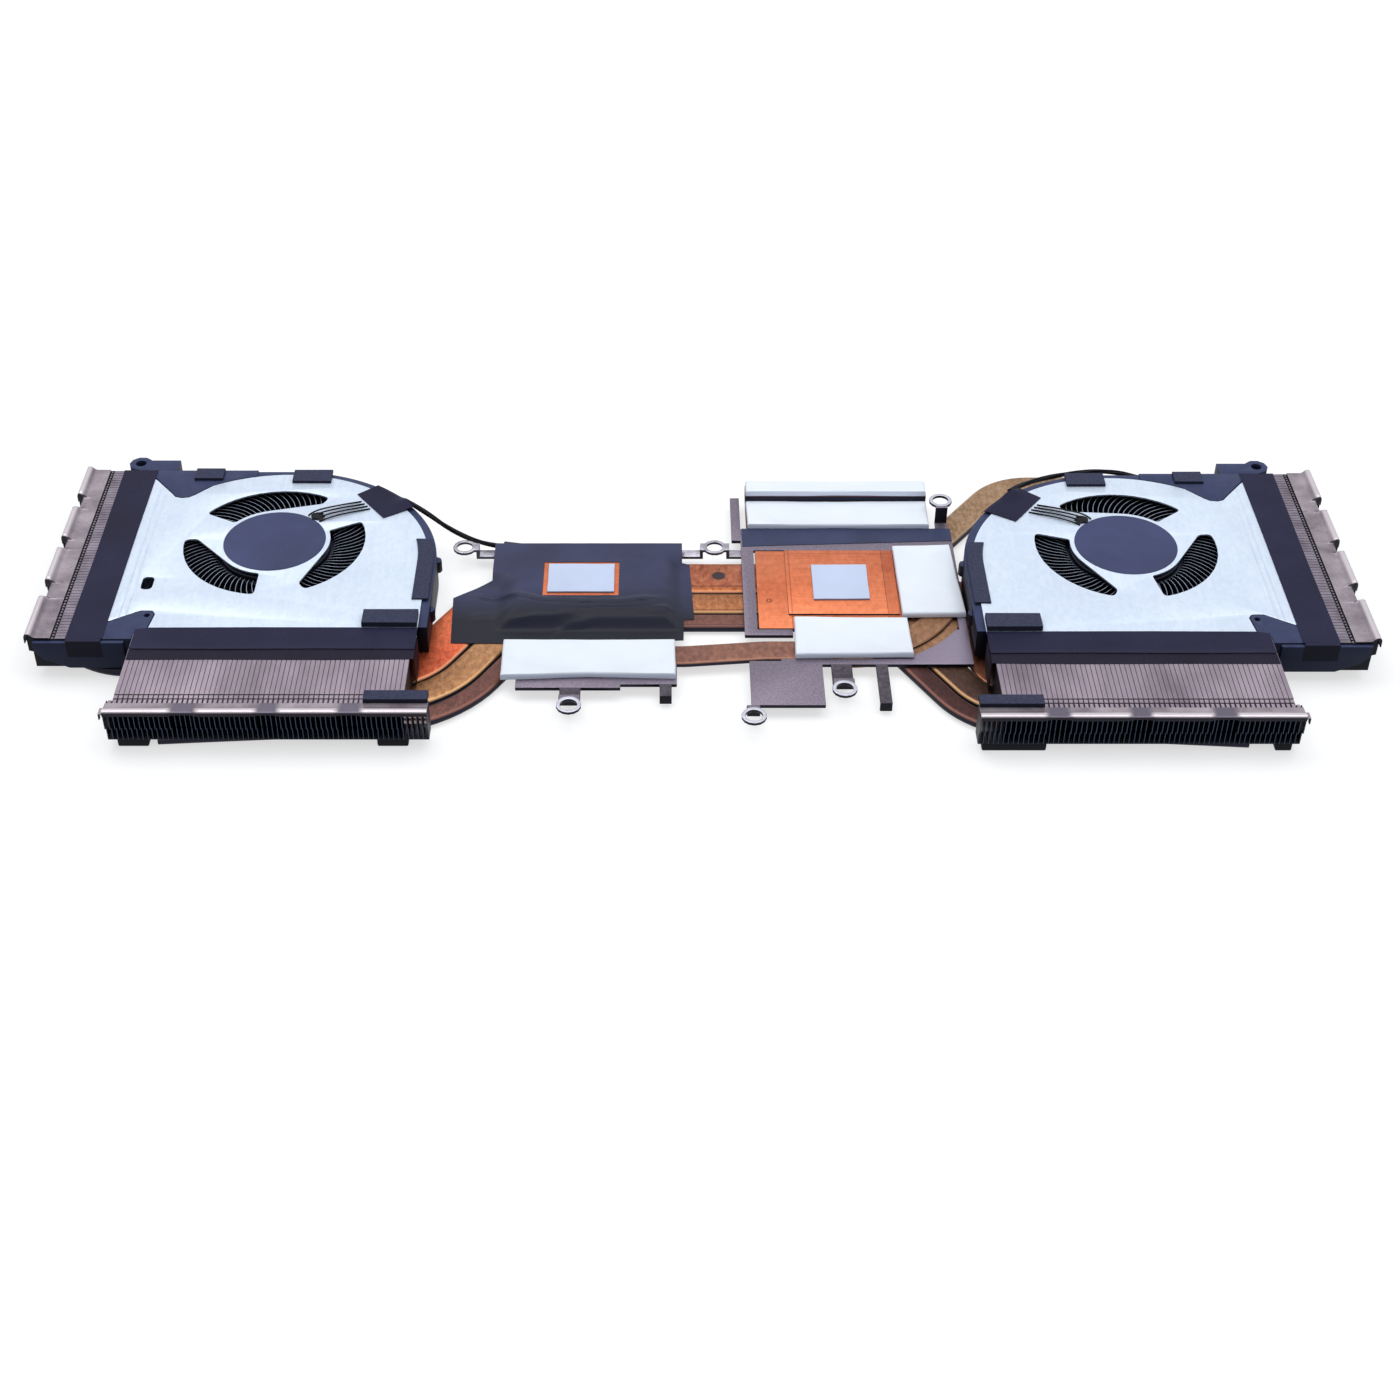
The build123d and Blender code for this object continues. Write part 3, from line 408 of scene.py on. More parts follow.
def padMaterial(name, colour, side, specks):
    p = padLook
    mat, tree, shader = newMaterial(name, 0.75, 0.0, 0.15)
    base = ramp(tree, noiseField(tree, p["cloud"], 4.0), ((0.3, scaled(colour, 0.95)), (0.65, colour)))
    dots = ramp(tree, cellField(tree, p["dots"])["Distance"], ((0.015, grey(specks)), (0.035, grey(0))))
    # upright faces take the side colour as painted shade
    setColourAndSideShade(tree, shader, mixColour(tree, dots, base, p["dot"]), side)
    bump(tree, shader, noiseField(tree, p["grain"], 3.0), 0.08, 0.0003)
    return mat


# light is a painted highlight on the thin top edges of the black blades; side is painted shade
bladeLook = {"dark": (0.22, 0.26, 0.36), "light": (0.40, 0.45, 0.56), "side": (0.004, 0.004, 0.007)}


def bladeMaterial():
    b = bladeLook
    mat, tree, shader = newMaterial("bladePlastic", 0.35, 0.0, 0.12)
    setColourAndSideShade(tree, shader, ramp(tree, noiseField(tree, 300, 3.0), ((0.3, b["dark"]), (0.7, b["light"]))), b["side"])
    return mat


def plastic(name, dark, light, size, roughness, specular, grain=(1500, 0.1, 0.0002), inner=None):
    mat, tree, shader = newMaterial(name, roughness, 0.0, specular)
    base = ramp(tree, noiseField(tree, size, 4.0), ((0.3, dark), (0.7, light)))
    # upright faces take a darker copy as painted shade
    side = scaled(dark, 0.45)
    if inner is not None:  # walls towards the middle lie in shade
        side = mixColour(tree, inRange(tree, "X", -60, inner, 14, True), side, scaled(dark, 0.10))
    setColourAndSideShade(tree, shader, base, side)
    bump(tree, shader, noiseField(tree, grain[0], 2.0), grain[1], grain[2])
    return mat


mats = {
    "plate": plateMaterial(),
    "frame": plastic("housingPlastic", (0.030, 0.040, 0.098), (0.042, 0.054, 0.126), 300, 0.5, 0.15,
                     (2600, 0.15, 0.0002), -26),
    "blade": bladeMaterial(),
    "hub": plastic("hubPlastic", (0.009, 0.012, 0.026), (0.020, 0.026, 0.052), 300, 0.45, 0.2),
    "label": tapeMaterial("hubFilm", (0.040, 0.050, 0.128), 0.55, 0.05, 0.22),
    "foldTape": tapeMaterial("foldedTape", (0.015, 0.012, 0.026), 0.55, 0.10, 0.08),
    "tape": tapeMaterial("sealTape", (0.014, 0.0135, 0.040), 0.5, 0.10, 0.10),
    "clearTape": tapeMaterial("coverFilm", (0.034, 0.044, 0.100), 0.5, 0.06, 0.2),
    "wrinkleTape": tapeMaterial("insulatingTape", (0.032, 0.037, 0.088), 0.42, 0.10, 0.18, (0.6, 0.985), (-8.5, 2.5)),
    "foam": plastic("foamRubber", (0.034, 0.038, 0.072), (0.056, 0.062, 0.112), 1500, 0.85, 0.15, (3200, 0.6, 0.0004)),
    "lead": plastic("leadSleeve", (0.004, 0.004, 0.007), (0.010, 0.010, 0.016), 600, 0.45, 0.12),
    "rubber": plastic("footRubber", (0.012, 0.013, 0.022), (0.026, 0.027, 0.042), 500, 0.7, 0.2, (1500, 0.3, 0.0002)),
    "plug": plastic("plugPlastic", (0.014, 0.014, 0.022), (0.030, 0.030, 0.042), 500, 0.5, 0.3, (1500, 0.2, 0.0002)),
    "finTop": metalMaterial("finFold", (0.17, 0.135, 0.175), (0.36, 0.295, 0.36), (0.045, 0.042, 0.055), 70, 0.4,
                            (1, 0.4, 1)),
    "sideFinTop": metalMaterial("sideFinFold", (0.15, 0.125, 0.16), (0.27, 0.235, 0.29), (0.030, 0.030, 0.040), 190,
                                0.42),
    # the fin noses and walls take darker copies of the fin metal as painted shade
    "finEdgeShade": metalMaterial("finNoseShade", (0.07, 0.09, 0.14), (0.12, 0.15, 0.22), (0.042, 0.060, 0.105), 400, 0.5),
    # a brighter copy of the fin metal for the pressed tabs: painted highlight
    "tab": metalMaterial("tabNickelLit", (0.26, 0.19, 0.18), (0.52, 0.40, 0.37), (0.42, 0.32, 0.30), 1500, 0.36),
    "finBodyShade": metalMaterial("finWallShade", (0.055, 0.048, 0.060), (0.085, 0.075, 0.090), (0.006, 0.007, 0.012), 400, 0.5),
    "frontCap": capMaterial("frontCapNickel", (11.42, 11.75), ((-30.4, -24.8), (-10.6, -5.5), (9.1, 15.0))),
    "sideCap": capMaterial("sideCapNickel", (11.9, 12.35), ()),
    "steel": metalMaterial("bracketSteel", (0.135, 0.113, 0.150), (0.225, 0.190, 0.248), (0.010, 0.010, 0.018), 2100,
                           0.45, sheen=((0.074, -0.022), (0.33, 0.28, 0.38)),
                           rings=((-0.0326, -0.0466), (0.0124, -0.0507), (0.035, -0.0402), (0.066, 0.0384))),
    # a darker copy of the bracket steel for the bent tabs: painted shade
    "shadedSteel": metalMaterial("bentSteelShade", (0.035, 0.030, 0.040), (0.075, 0.065, 0.082), (0.008, 0.008, 0.014), 900,
                               0.5),
    "ring": metalMaterial("ringSteel", (0.26, 0.25, 0.30), (0.52, 0.50, 0.57), (0.06, 0.06, 0.08), 500, 0.34),
    "wide": copperMaterial(
        "copperWide", (0.11, 0.028, 0.014), (0.38, 0.110, 0.056), (0.60, 0.265, 0.135), 0.34, tape=-0.134,
        spot=(0.005, 0.011), tintsAndShade=(("X", -400, -48, 14, (1.50, 0.90, 0.70)), ("Y", 6.0, 6.9, 0.4, (0.55, 0.48, 0.42)),
                                    ("Y", 3.8, 6.0, 0.5, (1.15, 1.15, 0.75)))),
    "middle": copperMaterial(
        "copperMiddle", (0.08, 0.034, 0.015), (0.35, 0.160, 0.070), (0.56, 0.320, 0.150), 0.34,
        tintsAndShade=(("X", 44, 400, 12, (0.18, 0.17, 0.27)), ("X", -50, 40, 12, (1.15, 0.92, 0.85)),
               ("Y", -5.1, -3.5, 0.6, (0.34, 0.28, 0.26)))),
    "narrow": copperMaterial(
        "copperNarrow", (0.045, 0.018, 0.016), (0.130, 0.052, 0.044), (0.24, 0.105, 0.080), 0.40,
        # the bands beyond x = 68 mm either side darken the narrow pipe under the fin stacks as painted shade
        tintsAndShade=(("Y", -11.3, -10.0, 0.4, (0.12, 0.20, 0.48)), ("X", 42, 400, 14, (0.38, 0.32, 0.36)),
               ("X", -400, -68, 3, (0.14, 0.30, 0.60)), ("X", 68, 400, 3, (0.35, 0.9, 1.6)))),
    # a darker copy of the wide pipe's copper where it turns below the right fan: painted shade
    "wideTurnShade": copperMaterial(
        "copperWideTurnShade", (0.07, 0.020, 0.012), (0.22, 0.066, 0.036), (0.36, 0.145, 0.080), 0.36),
    "bridge": copperMaterial("copperBridge", (0.075, 0.032, 0.024), (0.205, 0.092, 0.070), (0.36, 0.175, 0.115), 0.40),
    "bridgeTurn": copperMaterial(
        "copperTurn", (0.09, 0.040, 0.020), (0.26, 0.130, 0.070), (0.42, 0.225, 0.120), 0.38, (0.7, 0.7, 1)),
    "rear": copperMaterial(
        "copperRear", (0.12, 0.060, 0.028), (0.33, 0.200, 0.110), (0.52, 0.385, 0.285), 0.36, (0.7, 0.7, 1)),
    "cold": copperMaterial(
        "coldPlate", (0.41, 0.094, 0.036), (0.62, 0.168, 0.070), (0.77, 0.248, 0.114), 0.40, (0.5, 1, 1), brushed=0.16,
        mark=(0.0179, -0.0013),
        tintsAndShade=(("X", -60, 22.7, 0.1, (0.92, 0.90, 0.90)), ("X", 48.4, 51.4, 0.1, (0.80, 0.72, 0.70)),
               ("X", 48.2, 48.5, 0.1, (0.45, 0.40, 0.40)), ("X", 23.4, 23.9, 0.2, (0.62, 0.52, 0.5)),
               ("Y", 18.6, 19.0, 0.2, (0.62, 0.52, 0.5)))),
    "bar": copperMaterial("darkBar", (0.05, 0.022, 0.018), (0.12, 0.05, 0.038), (0.22, 0.10, 0.075), 0.42, (0.2, 1, 1)),
    "white": padMaterial("whitePad", (0.87, 0.92, 1.0), (0.80, 0.87, 1.0), 0.8),
    "grey": padMaterial("greyPad", (0.60, 0.68, 0.88), (0.24, 0.28, 0.42), 0.15),
    "iron": metalMaterial("motorIron", (0.08, 0.08, 0.085), (0.16, 0.155, 0.16), (0.05, 0.05, 0.055), 600, 0.45),
}
print("materials made")

impellerSizes = {"blades": 81, "rootR": 15.4, "tipR": 29.9, "bottom": 3.5, "top": 9.38, "thick": 0.2, "sections": 10,
                 "hubR": 14.1, "lean": 0.44, "curl": 0.0752, "dip": 0.4, "dipR": 17.0,
                 "hub": ((12.6, 9.35), (14.1, 9.38), (14.4, 9.1), (14.5, 7.9), (15.5, 7.6), (15.8, 6.4), (17.0, 6.0),
                         (17.3, 4.0), (17.0, 2.75), (12.6, 2.65))}


def bladeAngle(turn, radius):
    s = impellerSizes
    reach = radius - s["hubR"]
    return math.radians(turn - s["lean"] * reach - s["curl"] * reach * reach)


def buildImpeller(side):
    s = impellerSizes
    bm = bmesh.new()
    spinProfile(bm, s["hub"], True)
    for face in bm.faces:
        face.material_index = 1
    last = s["sections"] - 1
    for blade in range(s["blades"]):
        rings = []
        for i in range(last + 1):
            radius = s["rootR"] + (s["tipR"] - s["rootR"]) * i / last
            angle = bladeAngle(blade * 360 / s["blades"], radius)
            half = s["thick"] / 2 / radius * (0.6 if i in (0, last) else 1.0)
            top = s["top"] - s["dip"] * smoothStep((s["dipR"] - radius) / 1.5)
            corners = ((-half, s["bottom"]), (half, s["bottom"]), (half * 0.8, top), (-half * 0.8, top))
            rings.append([(radius * math.cos(angle + off), radius * math.sin(angle + off), z) for off, z in corners])
        addLoft(bm, rings)
    addPiece(f"{side}_blades", bm, ["blade", "hub"], (f"{side}_impeller",), fanPlace(side), 40,
             f"{side}_rotor")


for side in sides:
    buildImpeller(side)
print("impellers built")

plateSizes = {"thick": 0.5, "bevel": 0.08, "rimR": 41.0, "rimX": 20.5, "edge": 0.8, "corner": 1.9, "rightTurn": 10,
              "intakes": (33, 157, 275), "sweep": 88, "outerR": 23.8, "tipR": 20.6, "innerR": 14.6,
              "rear": ((37.5, 30.8), (31.2, 22.8), (29.9, 21.0), (28.2, 20.4), (26.2, 20.7), (24.8, 21.8)),
              "front": ((-41.0, -38.5), (26.4, -38.5), (25.6, -32.0), (26.6, -30.6), (29.6, -30.6), (37.5, -35.5)),
              "slot": ((31.5, -16.1), (28.5, -16.1), (28.5, -21.5), (31.5, -21.5))}


def polar(radius, angle):
    return Vector((radius * math.cos(math.radians(angle)), radius * math.sin(math.radians(angle))))


def arcPoints(radius, first, last, steps, centre=(0, 0)):
    return [polar(radius, first + (last - first) * i / steps) + Vector(centre) for i in range(steps + 1)]


def roundCorners(points, radius, steps=5, limit=25):
    rounded = []
    for i, here in enumerate(points):
        into, out = here - points[i - 1], points[(i + 1) % len(points)] - here
        turn = abs(into.angle(out, 0)) if into.length > 1e-6 and out.length > 1e-6 else 0
        if math.degrees(turn) < limit:
            rounded.append(here)
            continue
        cut = min(radius * math.tan(turn / 2), into.length * 0.45, out.length * 0.45)
        start, end = here - into.normalized() * cut, here + out.normalized() * cut
        for step in range(steps + 1):
            t = step / steps
            rounded.append(start * (1 - t) ** 2 + here * 2 * t * (1 - t) + end * t * t)
    return rounded


def intakeOutline(start):
    s = plateSizes
    tip = start + s["sweep"]
    touch = tip - math.degrees(math.acos(s["innerR"] / s["tipR"]))
    points = arcPoints(s["outerR"], start, tip - 1, 11) + [polar(s["tipR"], tip)]
    return roundCorners(points + arcPoints(s["innerR"], touch, start + 3, 6), s["corner"])


def plateOutline():
    s = plateSizes
    first = math.degrees(math.acos(s["rimX"] / s["rimR"]))
    points = [Vector(p) for p in s["rear"]] + arcPoints(s["rimR"], first, 180, 48, (0, layout["rimY"]))
    return roundCorners(points + [Vector(p) for p in s["front"]], s["edge"], 4)


def curveMesh(loops, kind, splineLook, **curveLook):
    curve = bpy.data.curves.new("outline", "CURVE")
    for name, value in curveLook.items():
        setattr(curve, name, value)
    for loop in loops:
        spline = curve.splines.new(kind)
        spline.points.add(len(loop) - 1)
        for point, place in zip(spline.points, loop):
            point.co = (*place, 1)
        for name, value in splineLook.items():
            setattr(spline, name, value)
    holder = bpy.data.objects.new("outline", curve)
    mesh = bpy.data.meshes.new_from_object(holder)
    bpy.data.objects.remove(holder)
    bpy.data.curves.remove(curve)
    return mesh


def fillOutline(loops, thick, bevel):
    loops = [[(x, y, 0) for x, y in loop] for loop in loops]
    mesh = curveMesh(loops, "POLY", {"use_cyclic_u": True}, dimensions="2D", fill_mode="BOTH",
                     extrude=thick / 2 - bevel, bevel_depth=bevel, offset=-bevel, bevel_resolution=1)
    bm = bmesh.new()
    bm.from_mesh(mesh)
    bpy.data.meshes.remove(mesh)
    bmesh.ops.remove_doubles(bm, verts=bm.verts, dist=1e-4)
    return bm


def buildPlate(side):
    s = plateSizes
    turned = s["rightTurn"] if side == "right" else 0
    loops = [plateOutline()] + [intakeOutline(start + turned) for start in s["intakes"]]
    if side == "left":
        loops.append(roundCorners([Vector(p) for p in s["slot"]], 1.5, 6))
    bm = fillOutline(loops, s["thick"], s["bevel"])
    bmesh.ops.translate(bm, vec=(0, 0, layout["top"] - s["thick"] / 2), verts=bm.verts)
    addPiece(f"{side}_cover", bm, ["plate"], (f"{side}_fan_plate",), fanPlace(side))


for side in sides:
    buildPlate(side)
print("cover plates built")

finSizes = {
    "pitch": 1.2, "thick": 0.2, "slit": 0.17, "fold": 0.3, "stepBottom": 6.4, "stepSlope": 0.4, "lidGap": 0.12,
    "under": (0.25, 0.1), "tabs": 5, "tabHeights": (8.9, 7.2), "tabTall": 0.9, "tabDepth": (1.1, 0.2), "tabShare": 0.7,
    "side": {"start": -42.4, "end": 34.0, "near": 38.5, "far": 54.6, "nose": 56.1, "tape": (-99, 99), "shortNear": 38.5,
             "rows": ((38.5, 48.7, 1.0), (49.1, 49.5, 0.6), (49.9, 54.6, 1.0)), "look": "sideFinTop",
             "lips": ((-42.0, -25.8), (-19.0, -4.4), (0.4, 14.7), (20.4, 34.0))},
    "front": {"start": -46.2, "end": 31.0, "near": 40.2, "far": 71.0, "nose": 72.0, "tape": (-40.5, 29.4),
              "shortNear": 66.6,
              "rows": ((40.2, 64.3, 1.0), (64.7, 65.9, 0.88), (66.3, 67.7, 0.72), (68.1, 71.0, 1.0)), "look": "finTop",
              "lips": ((-46.2, -30.4), (-24.8, -10.6), (-5.5, 9.1), (15.0, 31.0))},
}


def finPoint(kind, t, d, z):  # along the stack, out from the fan, up
    return (d, t, z) if kind == "side" else (t, -d, z)


def addFold(bm, kind, spot, width, near, far, low, high, matIndex=0):
    a, b = finPoint(kind, spot, near, low), finPoint(kind, spot + width, far, high)
    addBox(bm, tuple(map(min, a, b)), tuple(map(max, a, b)), matIndex)


def buildFins(side, kind):
    s, stack = finSizes, finSizes[kind]
    top, bottom, thick, fold, far = layout["top"], layout["pipeTop"], s["thick"], s["fold"], stack["far"]
    lid, (underLow, underHigh), (tabNear, tabFar) = top - s["lidGap"], s["under"], s["tabDepth"]
    bm = bmesh.new()
    length = stack["end"] - stack["start"] - thick
    count = round(length / s["pitch"])
    pitch = length / count
    for i in range(count + 1):
        spot = stack["start"] + i * pitch
        taped = stack["tape"][0] <= spot and spot + thick <= stack["tape"][1]
        first = stack["near"] if taped else stack["shortNear"]
        lipped = any(low - 0.2 <= spot <= high + 0.2 for low, high in stack["lips"])
        tip = stack["nose"] if lipped else far
        outline = ((first, bottom), (far, bottom), (far, s["stepBottom"] - s["stepSlope"]), (tip, s["stepBottom"]),
                   (tip, lid), (first, lid))
        # fin walls take a darker copy of the fin metal as painted shade
        faces = addLoft(bm, [[finPoint(kind, t, d, z) for d, z in outline] for t in (spot, spot + thick)], 1)
        faces[2].material_index = faces[4].material_index = 2  # noses, in the darker bluish fin metal as painted shade
        if i == count:
            continue
        for low, high, share in stack["rows"]:
            if high > first:
                width = (pitch - s["slit"]) * share
                addFold(bm, kind, spot + thick * 0.5, width, max(low, first), high, top - fold, top)
        inside, space = spot + thick, pitch - thick
        addFold(bm, kind, inside, space, first, far, top - fold - underLow, top - fold - underHigh, 1)
        addFold(bm, kind, inside, space, first, far, bottom, bottom + fold, 1)
        if side == "left" and kind == "front" and i < s["tabs"]:  # pressed tabs in a brighter copy of the fin metal, as painted highlight
            for z in s["tabHeights"]:
                addFold(bm, kind, inside, space * s["tabShare"], far - tabNear, far - tabFar, z, z + s["tabTall"], 3)
    addPiece(f"{side}_{kind}_fin_rows", bm, [stack["look"], "finBodyShade", "finEdgeShade", "tab"],
             (f"{side}_{kind}_fins",), fanPlace(side))


capSizes = {  # upper and lower are from the edge, from the top and share of the rise
    "side": {"outer": 56.4, "inner": 49.85, "back": 1.75, "rise": 1.0, "drop": 0.9, "ramp": 0.35, "seed": 4.0},
    "front": {"outer": 72.3, "inner": 68.0, "back": 0.55, "rise": 0.5, "drop": 0.0, "ramp": 1.3, "seed": 7.0},
    "upper": ((-2.9, 0.30, 0.0), (-2.35, 0.30, 0.15), (-1.6, 0.30, 0.95), (-1.2, 0.30, 1.10), (-0.7, 0.30, 1.10),
              (-0.35, 0.30, 0.92), (-0.1, 0.25, 0.45), (0.0, 0.1, 0.0)),
    "lower": ((-0.3, 0.0, 0.35), (-0.6, 0.0, 0.72), (-1.1, 0.0, 0.78), (-1.7, 0.0, 0.45), (-2.4, 0.0, 0.0),
              (-3.0, 0.0, 0.0)),
    "spots": 40, "rampSpots": 6, "sag": 0.05, "sagSize": 9.0,
    "hook": (((-0.2, -72.2, 10.95), (0.9, -69.8, 11.2)), ((0.65, -72.2, 9.5), (0.9, -71.2, 11.1))),
}


def lipSection(kind, weight):
    s, top = capSizes[kind], layout["top"]
    rise, edge = weight * s["rise"], s["outer"] - s["back"] * (1 - weight)
    foot = top - 0.5 - s["drop"] * weight

    def points(part):
        return [(edge + d, top + base + share * rise) for d, base, share in capSizes[part]]

    inner = [(s["inner"], top), (s["inner"], top + 0.25)]
    return inner + points("upper") + [(edge, foot), (edge - 0.22, foot)] + points("lower")


def buildCap(side, kind):
    s, stack = capSizes[kind], finSizes[kind]
    start, end, lips, ease = stack["start"], stack["end"], stack["lips"], s["ramp"]
    spots, rampSpots = capSizes["spots"], capSizes["rampSpots"]
    places = {start + (end - start) * i / spots for i in range(spots + 1)} | {start, end}
    for low, high in lips:
        for step in range(rampSpots + 1):
            off = 2 * ease * step / rampSpots - ease
            places |= {max(start, low + off), min(end, high + off)}
    rings = []
    for place in sorted(places):
        weight = 0.0
        for low, high in lips:
            rising = 1.0 if low <= start + 0.5 else smoothStep((place - low + ease) / (2 * ease))
            falling = 1.0 if high >= end - 0.5 else smoothStep((high + ease - place) / (2 * ease))
            weight = max(weight, min(rising, falling))
        sag = capSizes["sag"] * weight * wave(place, 3.0, capSizes["sagSize"], s["seed"])
        rings.append([finPoint(kind, place, d, z + sag) for d, z in lipSection(kind, weight)])
    bm = bmesh.new()
    addLoft(bm, rings)
    if kind == "front":  # the strip's outer end is bent down as a small hook
        for low, high in capSizes["hook"]:
            addBox(bm, Vector(low) + Vector((end, 0, 0)), Vector(high) + Vector((end, 0, 0)))
    addPiece(f"{side}_{kind}_lips", bm, [f"{kind}Cap"], (f"{side}_{kind}_fin_cap",), fanPlace(side), 50)


for side in sides:
    for kind in ("side", "front"):
        buildFins(side, kind)
        buildCap(side, kind)
print("fin stacks built")


def buildSheet(name, outline, step, height, thick, look, replaces, place=None):
    bm = bmesh.new()
    bm.faces.new([bm.verts.new((x, y, 0)) for x, y in outline])
    cutGrid(bm, step)
    for vert in bm.verts:
        vert.co.z = height(vert.co.x, vert.co.y)
    bm.normal_update()
    bmesh.ops.triangulate(bm, faces=[face for face in bm.faces if len(face.verts) > 4])
    thicken(bm, thick)
    return addPiece(name, bm, [look], replaces, place, 50)


sealTapes = {
    "long": ((-41.0, -46.9), (-18.0, -46.75), (6.0, -46.95), (29.4, -46.8), (29.4, -38.6), (26.0, -37.9), (0.0, -37.75),
             (-41.0, -37.85)),
    "fin": ((-41.0, -50.7), (-20.0, -50.95), (8.0, -50.8), (29.4, -50.9), (29.4, -46.9), (-41.0, -46.9)),
    "short": ((36.9, -42.4), (46.1, -42.4), (45.9, -10.0), (46.1, 34.0), (36.8, 34.0), (36.95, 5.0)),
    "creaseY": -46.9, "creaseLift": 0.22, "thick": 0.12,
    "folded": (((37.2, -43.55, 11.0), (45.9, -42.4, 11.12)), ((37.2, -43.65, 6.2), (45.9, -43.53, 11.12))),
    "flap": ((-50.8, 11.1), (-50.9, 2.7), (-45.0, 2.9), (-41.8, 4.2), (-41.7, 11.1)),
    "flapX": (-41.3, -41.15), "flapTop": ((-41.3, -50.8, 11.0), (-40.9, -41.7, 11.1)),
    "lead": ((36.6, 122.0), (44.0, 125.0), (44.0, 130.0), (44.1, 138.0), (43.9, 145.2), (33.9, 144.5)),  # radius, angle
    "leadWall": 43.0, "leadBulge": 1.1, "leadThick": 0.2, "cableStart": {"left": (-33.4, 17.6), "right": (-27.6, 24.4)},
}


def buildSealTapes(side):
    s, top, place = sealTapes, layout["top"], fanPlace(side)
    rim, start = Vector((0, layout["rimY"])), Vector(s["cableStart"][side])

    def longHeight(x, y):
        crease = s["creaseLift"] * smoothStep((s["creaseY"] + 2.0 - y) / 2.0)
        return top + crease + ripple(x, y, 0.05, 6, 2.0)

    def leadHeight(x, y):
        spot = Vector((x, y))
        over = (spot - rim).length - s["leadWall"]
        bulge = s["leadBulge"] * math.exp(-((spot - start).length / 2.6) ** 2)
        return top + 0.03 + bulge + ripple(x, y, 0.06, 4, 9.0) - 2.0 * smoothStep(over / 1.6)

    buildSheet(f"{side}_long_tape", s["long"], 1.2, longHeight, s["thick"], "tape", (f"{side}_front_tape",), place)
    buildSheet(f"{side}_fin_tape", s["fin"], 1.2, lambda x, y: top + ripple(x, y, 0.04, 5, 8.0), 0.1, "foldTape", (),
               place)
    buildSheet(f"{side}_short_tape", s["short"], 1.3, lambda x, y: top + ripple(x, y, 0.06, 8, 5.0), s["thick"], "tape",
               (f"{side}_side_tape",), place)
    bm = bmesh.new()
    for low, high in s["folded"]:
        addBox(bm, low, high)
    addPiece(f"{side}_folded_tape", bm, ["tape"], place=place)
    bm = bmesh.new()
    addLoft(bm, [[(x, y, z) for y, z in s["flap"]] for x in s["flapX"]])  # hangs over the inner end of the long stack
    addBox(bm, *s["flapTop"])
    addPiece(f"{side}_tape_flap", bm, ["foldTape"], place=place)
    outline = [polar(radius, angle) + rim for radius, angle in s["lead"]]
    buildSheet(f"{side}_lead_tape", outline, 0.6, leadHeight, s["leadThick"], "tape", (f"{side}_wire_tape",), place)


for side in sides:
    buildSealTapes(side)
print("seal tapes laid")

foamSizes = {
    "strips": ((-40.8, -27.0, -37.6, -32.0, 1.5), (-46.0, -30.6, -67.8, -64.4, 1.3), (-11.5, -1.0, 27.6, 33.2, 0.8),
               (18.2, 26.0, 29.0, 33.9, 0.8)),  # x range, y range, thickness
    "rimR": 42.6, "rimWidth": 4.2, "rimFront": -26.0, "rimRear": 0.6, "rimThick": 0.4, "rimRings": 24,
    "rimSoft": 0.2, "rimShoulder": 0.7, "rimGap": 0.01, "gap": 0.02, "sway": (0.12, 0.10), "swaySize": 3.0,
}


def buildFoam():
    s, top = foamSizes, layout["top"]
    bm = bmesh.new()
    for side in sides:
        part, rings = bmesh.new(), []
        for x0, x1, y0, y1, thick in s["strips"]:
            addBox(part, (x0, y0, top + s["gap"]), (x1, y1, top + thick))
        for vert in part.verts:  # hand-cut strips are a little uneven
            vert.co.x += s["sway"][0] * wave(vert.co.x, vert.co.y, s["swaySize"], 1.0)
            vert.co.y += s["sway"][1] * wave(vert.co.x, vert.co.y, s["swaySize"], 2.0)
        for i in range(s["rimRings"] + 1):
            y = s["rimFront"] + (s["rimRear"] - s["rimFront"]) * i / s["rimRings"]
            ahead = max(0, y - layout["rimY"])  # straight in front of the arc's centre
            outer = -math.sqrt(s["rimR"] ** 2 - ahead ** 2)
            inner, low, soft = outer + s["rimWidth"], top + s["rimGap"], s["rimSoft"]
            high, shoulder = low + s["rimThick"], low + s["rimThick"] * s["rimShoulder"]
            rings.append([(outer, y, low), (outer, y, shoulder), (outer + soft, y, high), (inner - soft, y, high),
                          (inner, y, shoulder), (inner, y, low)])
        addLoft(part, rings)
        bmesh.ops.transform(part, matrix=fanPlace(side), verts=part.verts)
        mesh = bpy.data.meshes.new("foamPart")
        part.to_mesh(mesh)
        part.free()
        bm.from_mesh(mesh)
        bpy.data.meshes.remove(mesh)
    addPiece("foam_strips", bm, ["foam"], ("foam_pads",))


buildFoam()
print("foam laid")

labelSizes = {"radius": 13.4, "thick": 0.14, "edge": 0.06}


def buildLabel(side):
    r, low, thick = labelSizes["radius"], layout["top"], labelSizes["thick"]
    bm = bmesh.new()
    rim = ((r, low), (r, low + thick * 0.6), (r - labelSizes["edge"], low + thick))
    spinProfile(bm, ((0, low), *rim, (0, low + thick)), False)
    addPiece(f"{side}_hub_film", bm, ["label"], (f"{side}_hub_label",), fanPlace(side))


for side in sides:
    buildLabel(side)


def headings(points):
    pairs = zip(points[:1] + points[:-1], points[1:] + points[-1:])
    return [(after - before).normalized() for before, after in pairs]


def tubeAlong(bm, points, radius, steps=10):
    rings = []
    for point, ahead in zip(points, headings(points)):
        right = ahead.cross(Vector((0, 0, 1))).normalized()
        up = right.cross(ahead)
        angles = [2 * math.pi * k / steps for k in range(steps)]
        rings.append([point + (right * math.cos(a) + up * math.sin(a)) * radius for a in angles])
    addLoft(bm, rings)


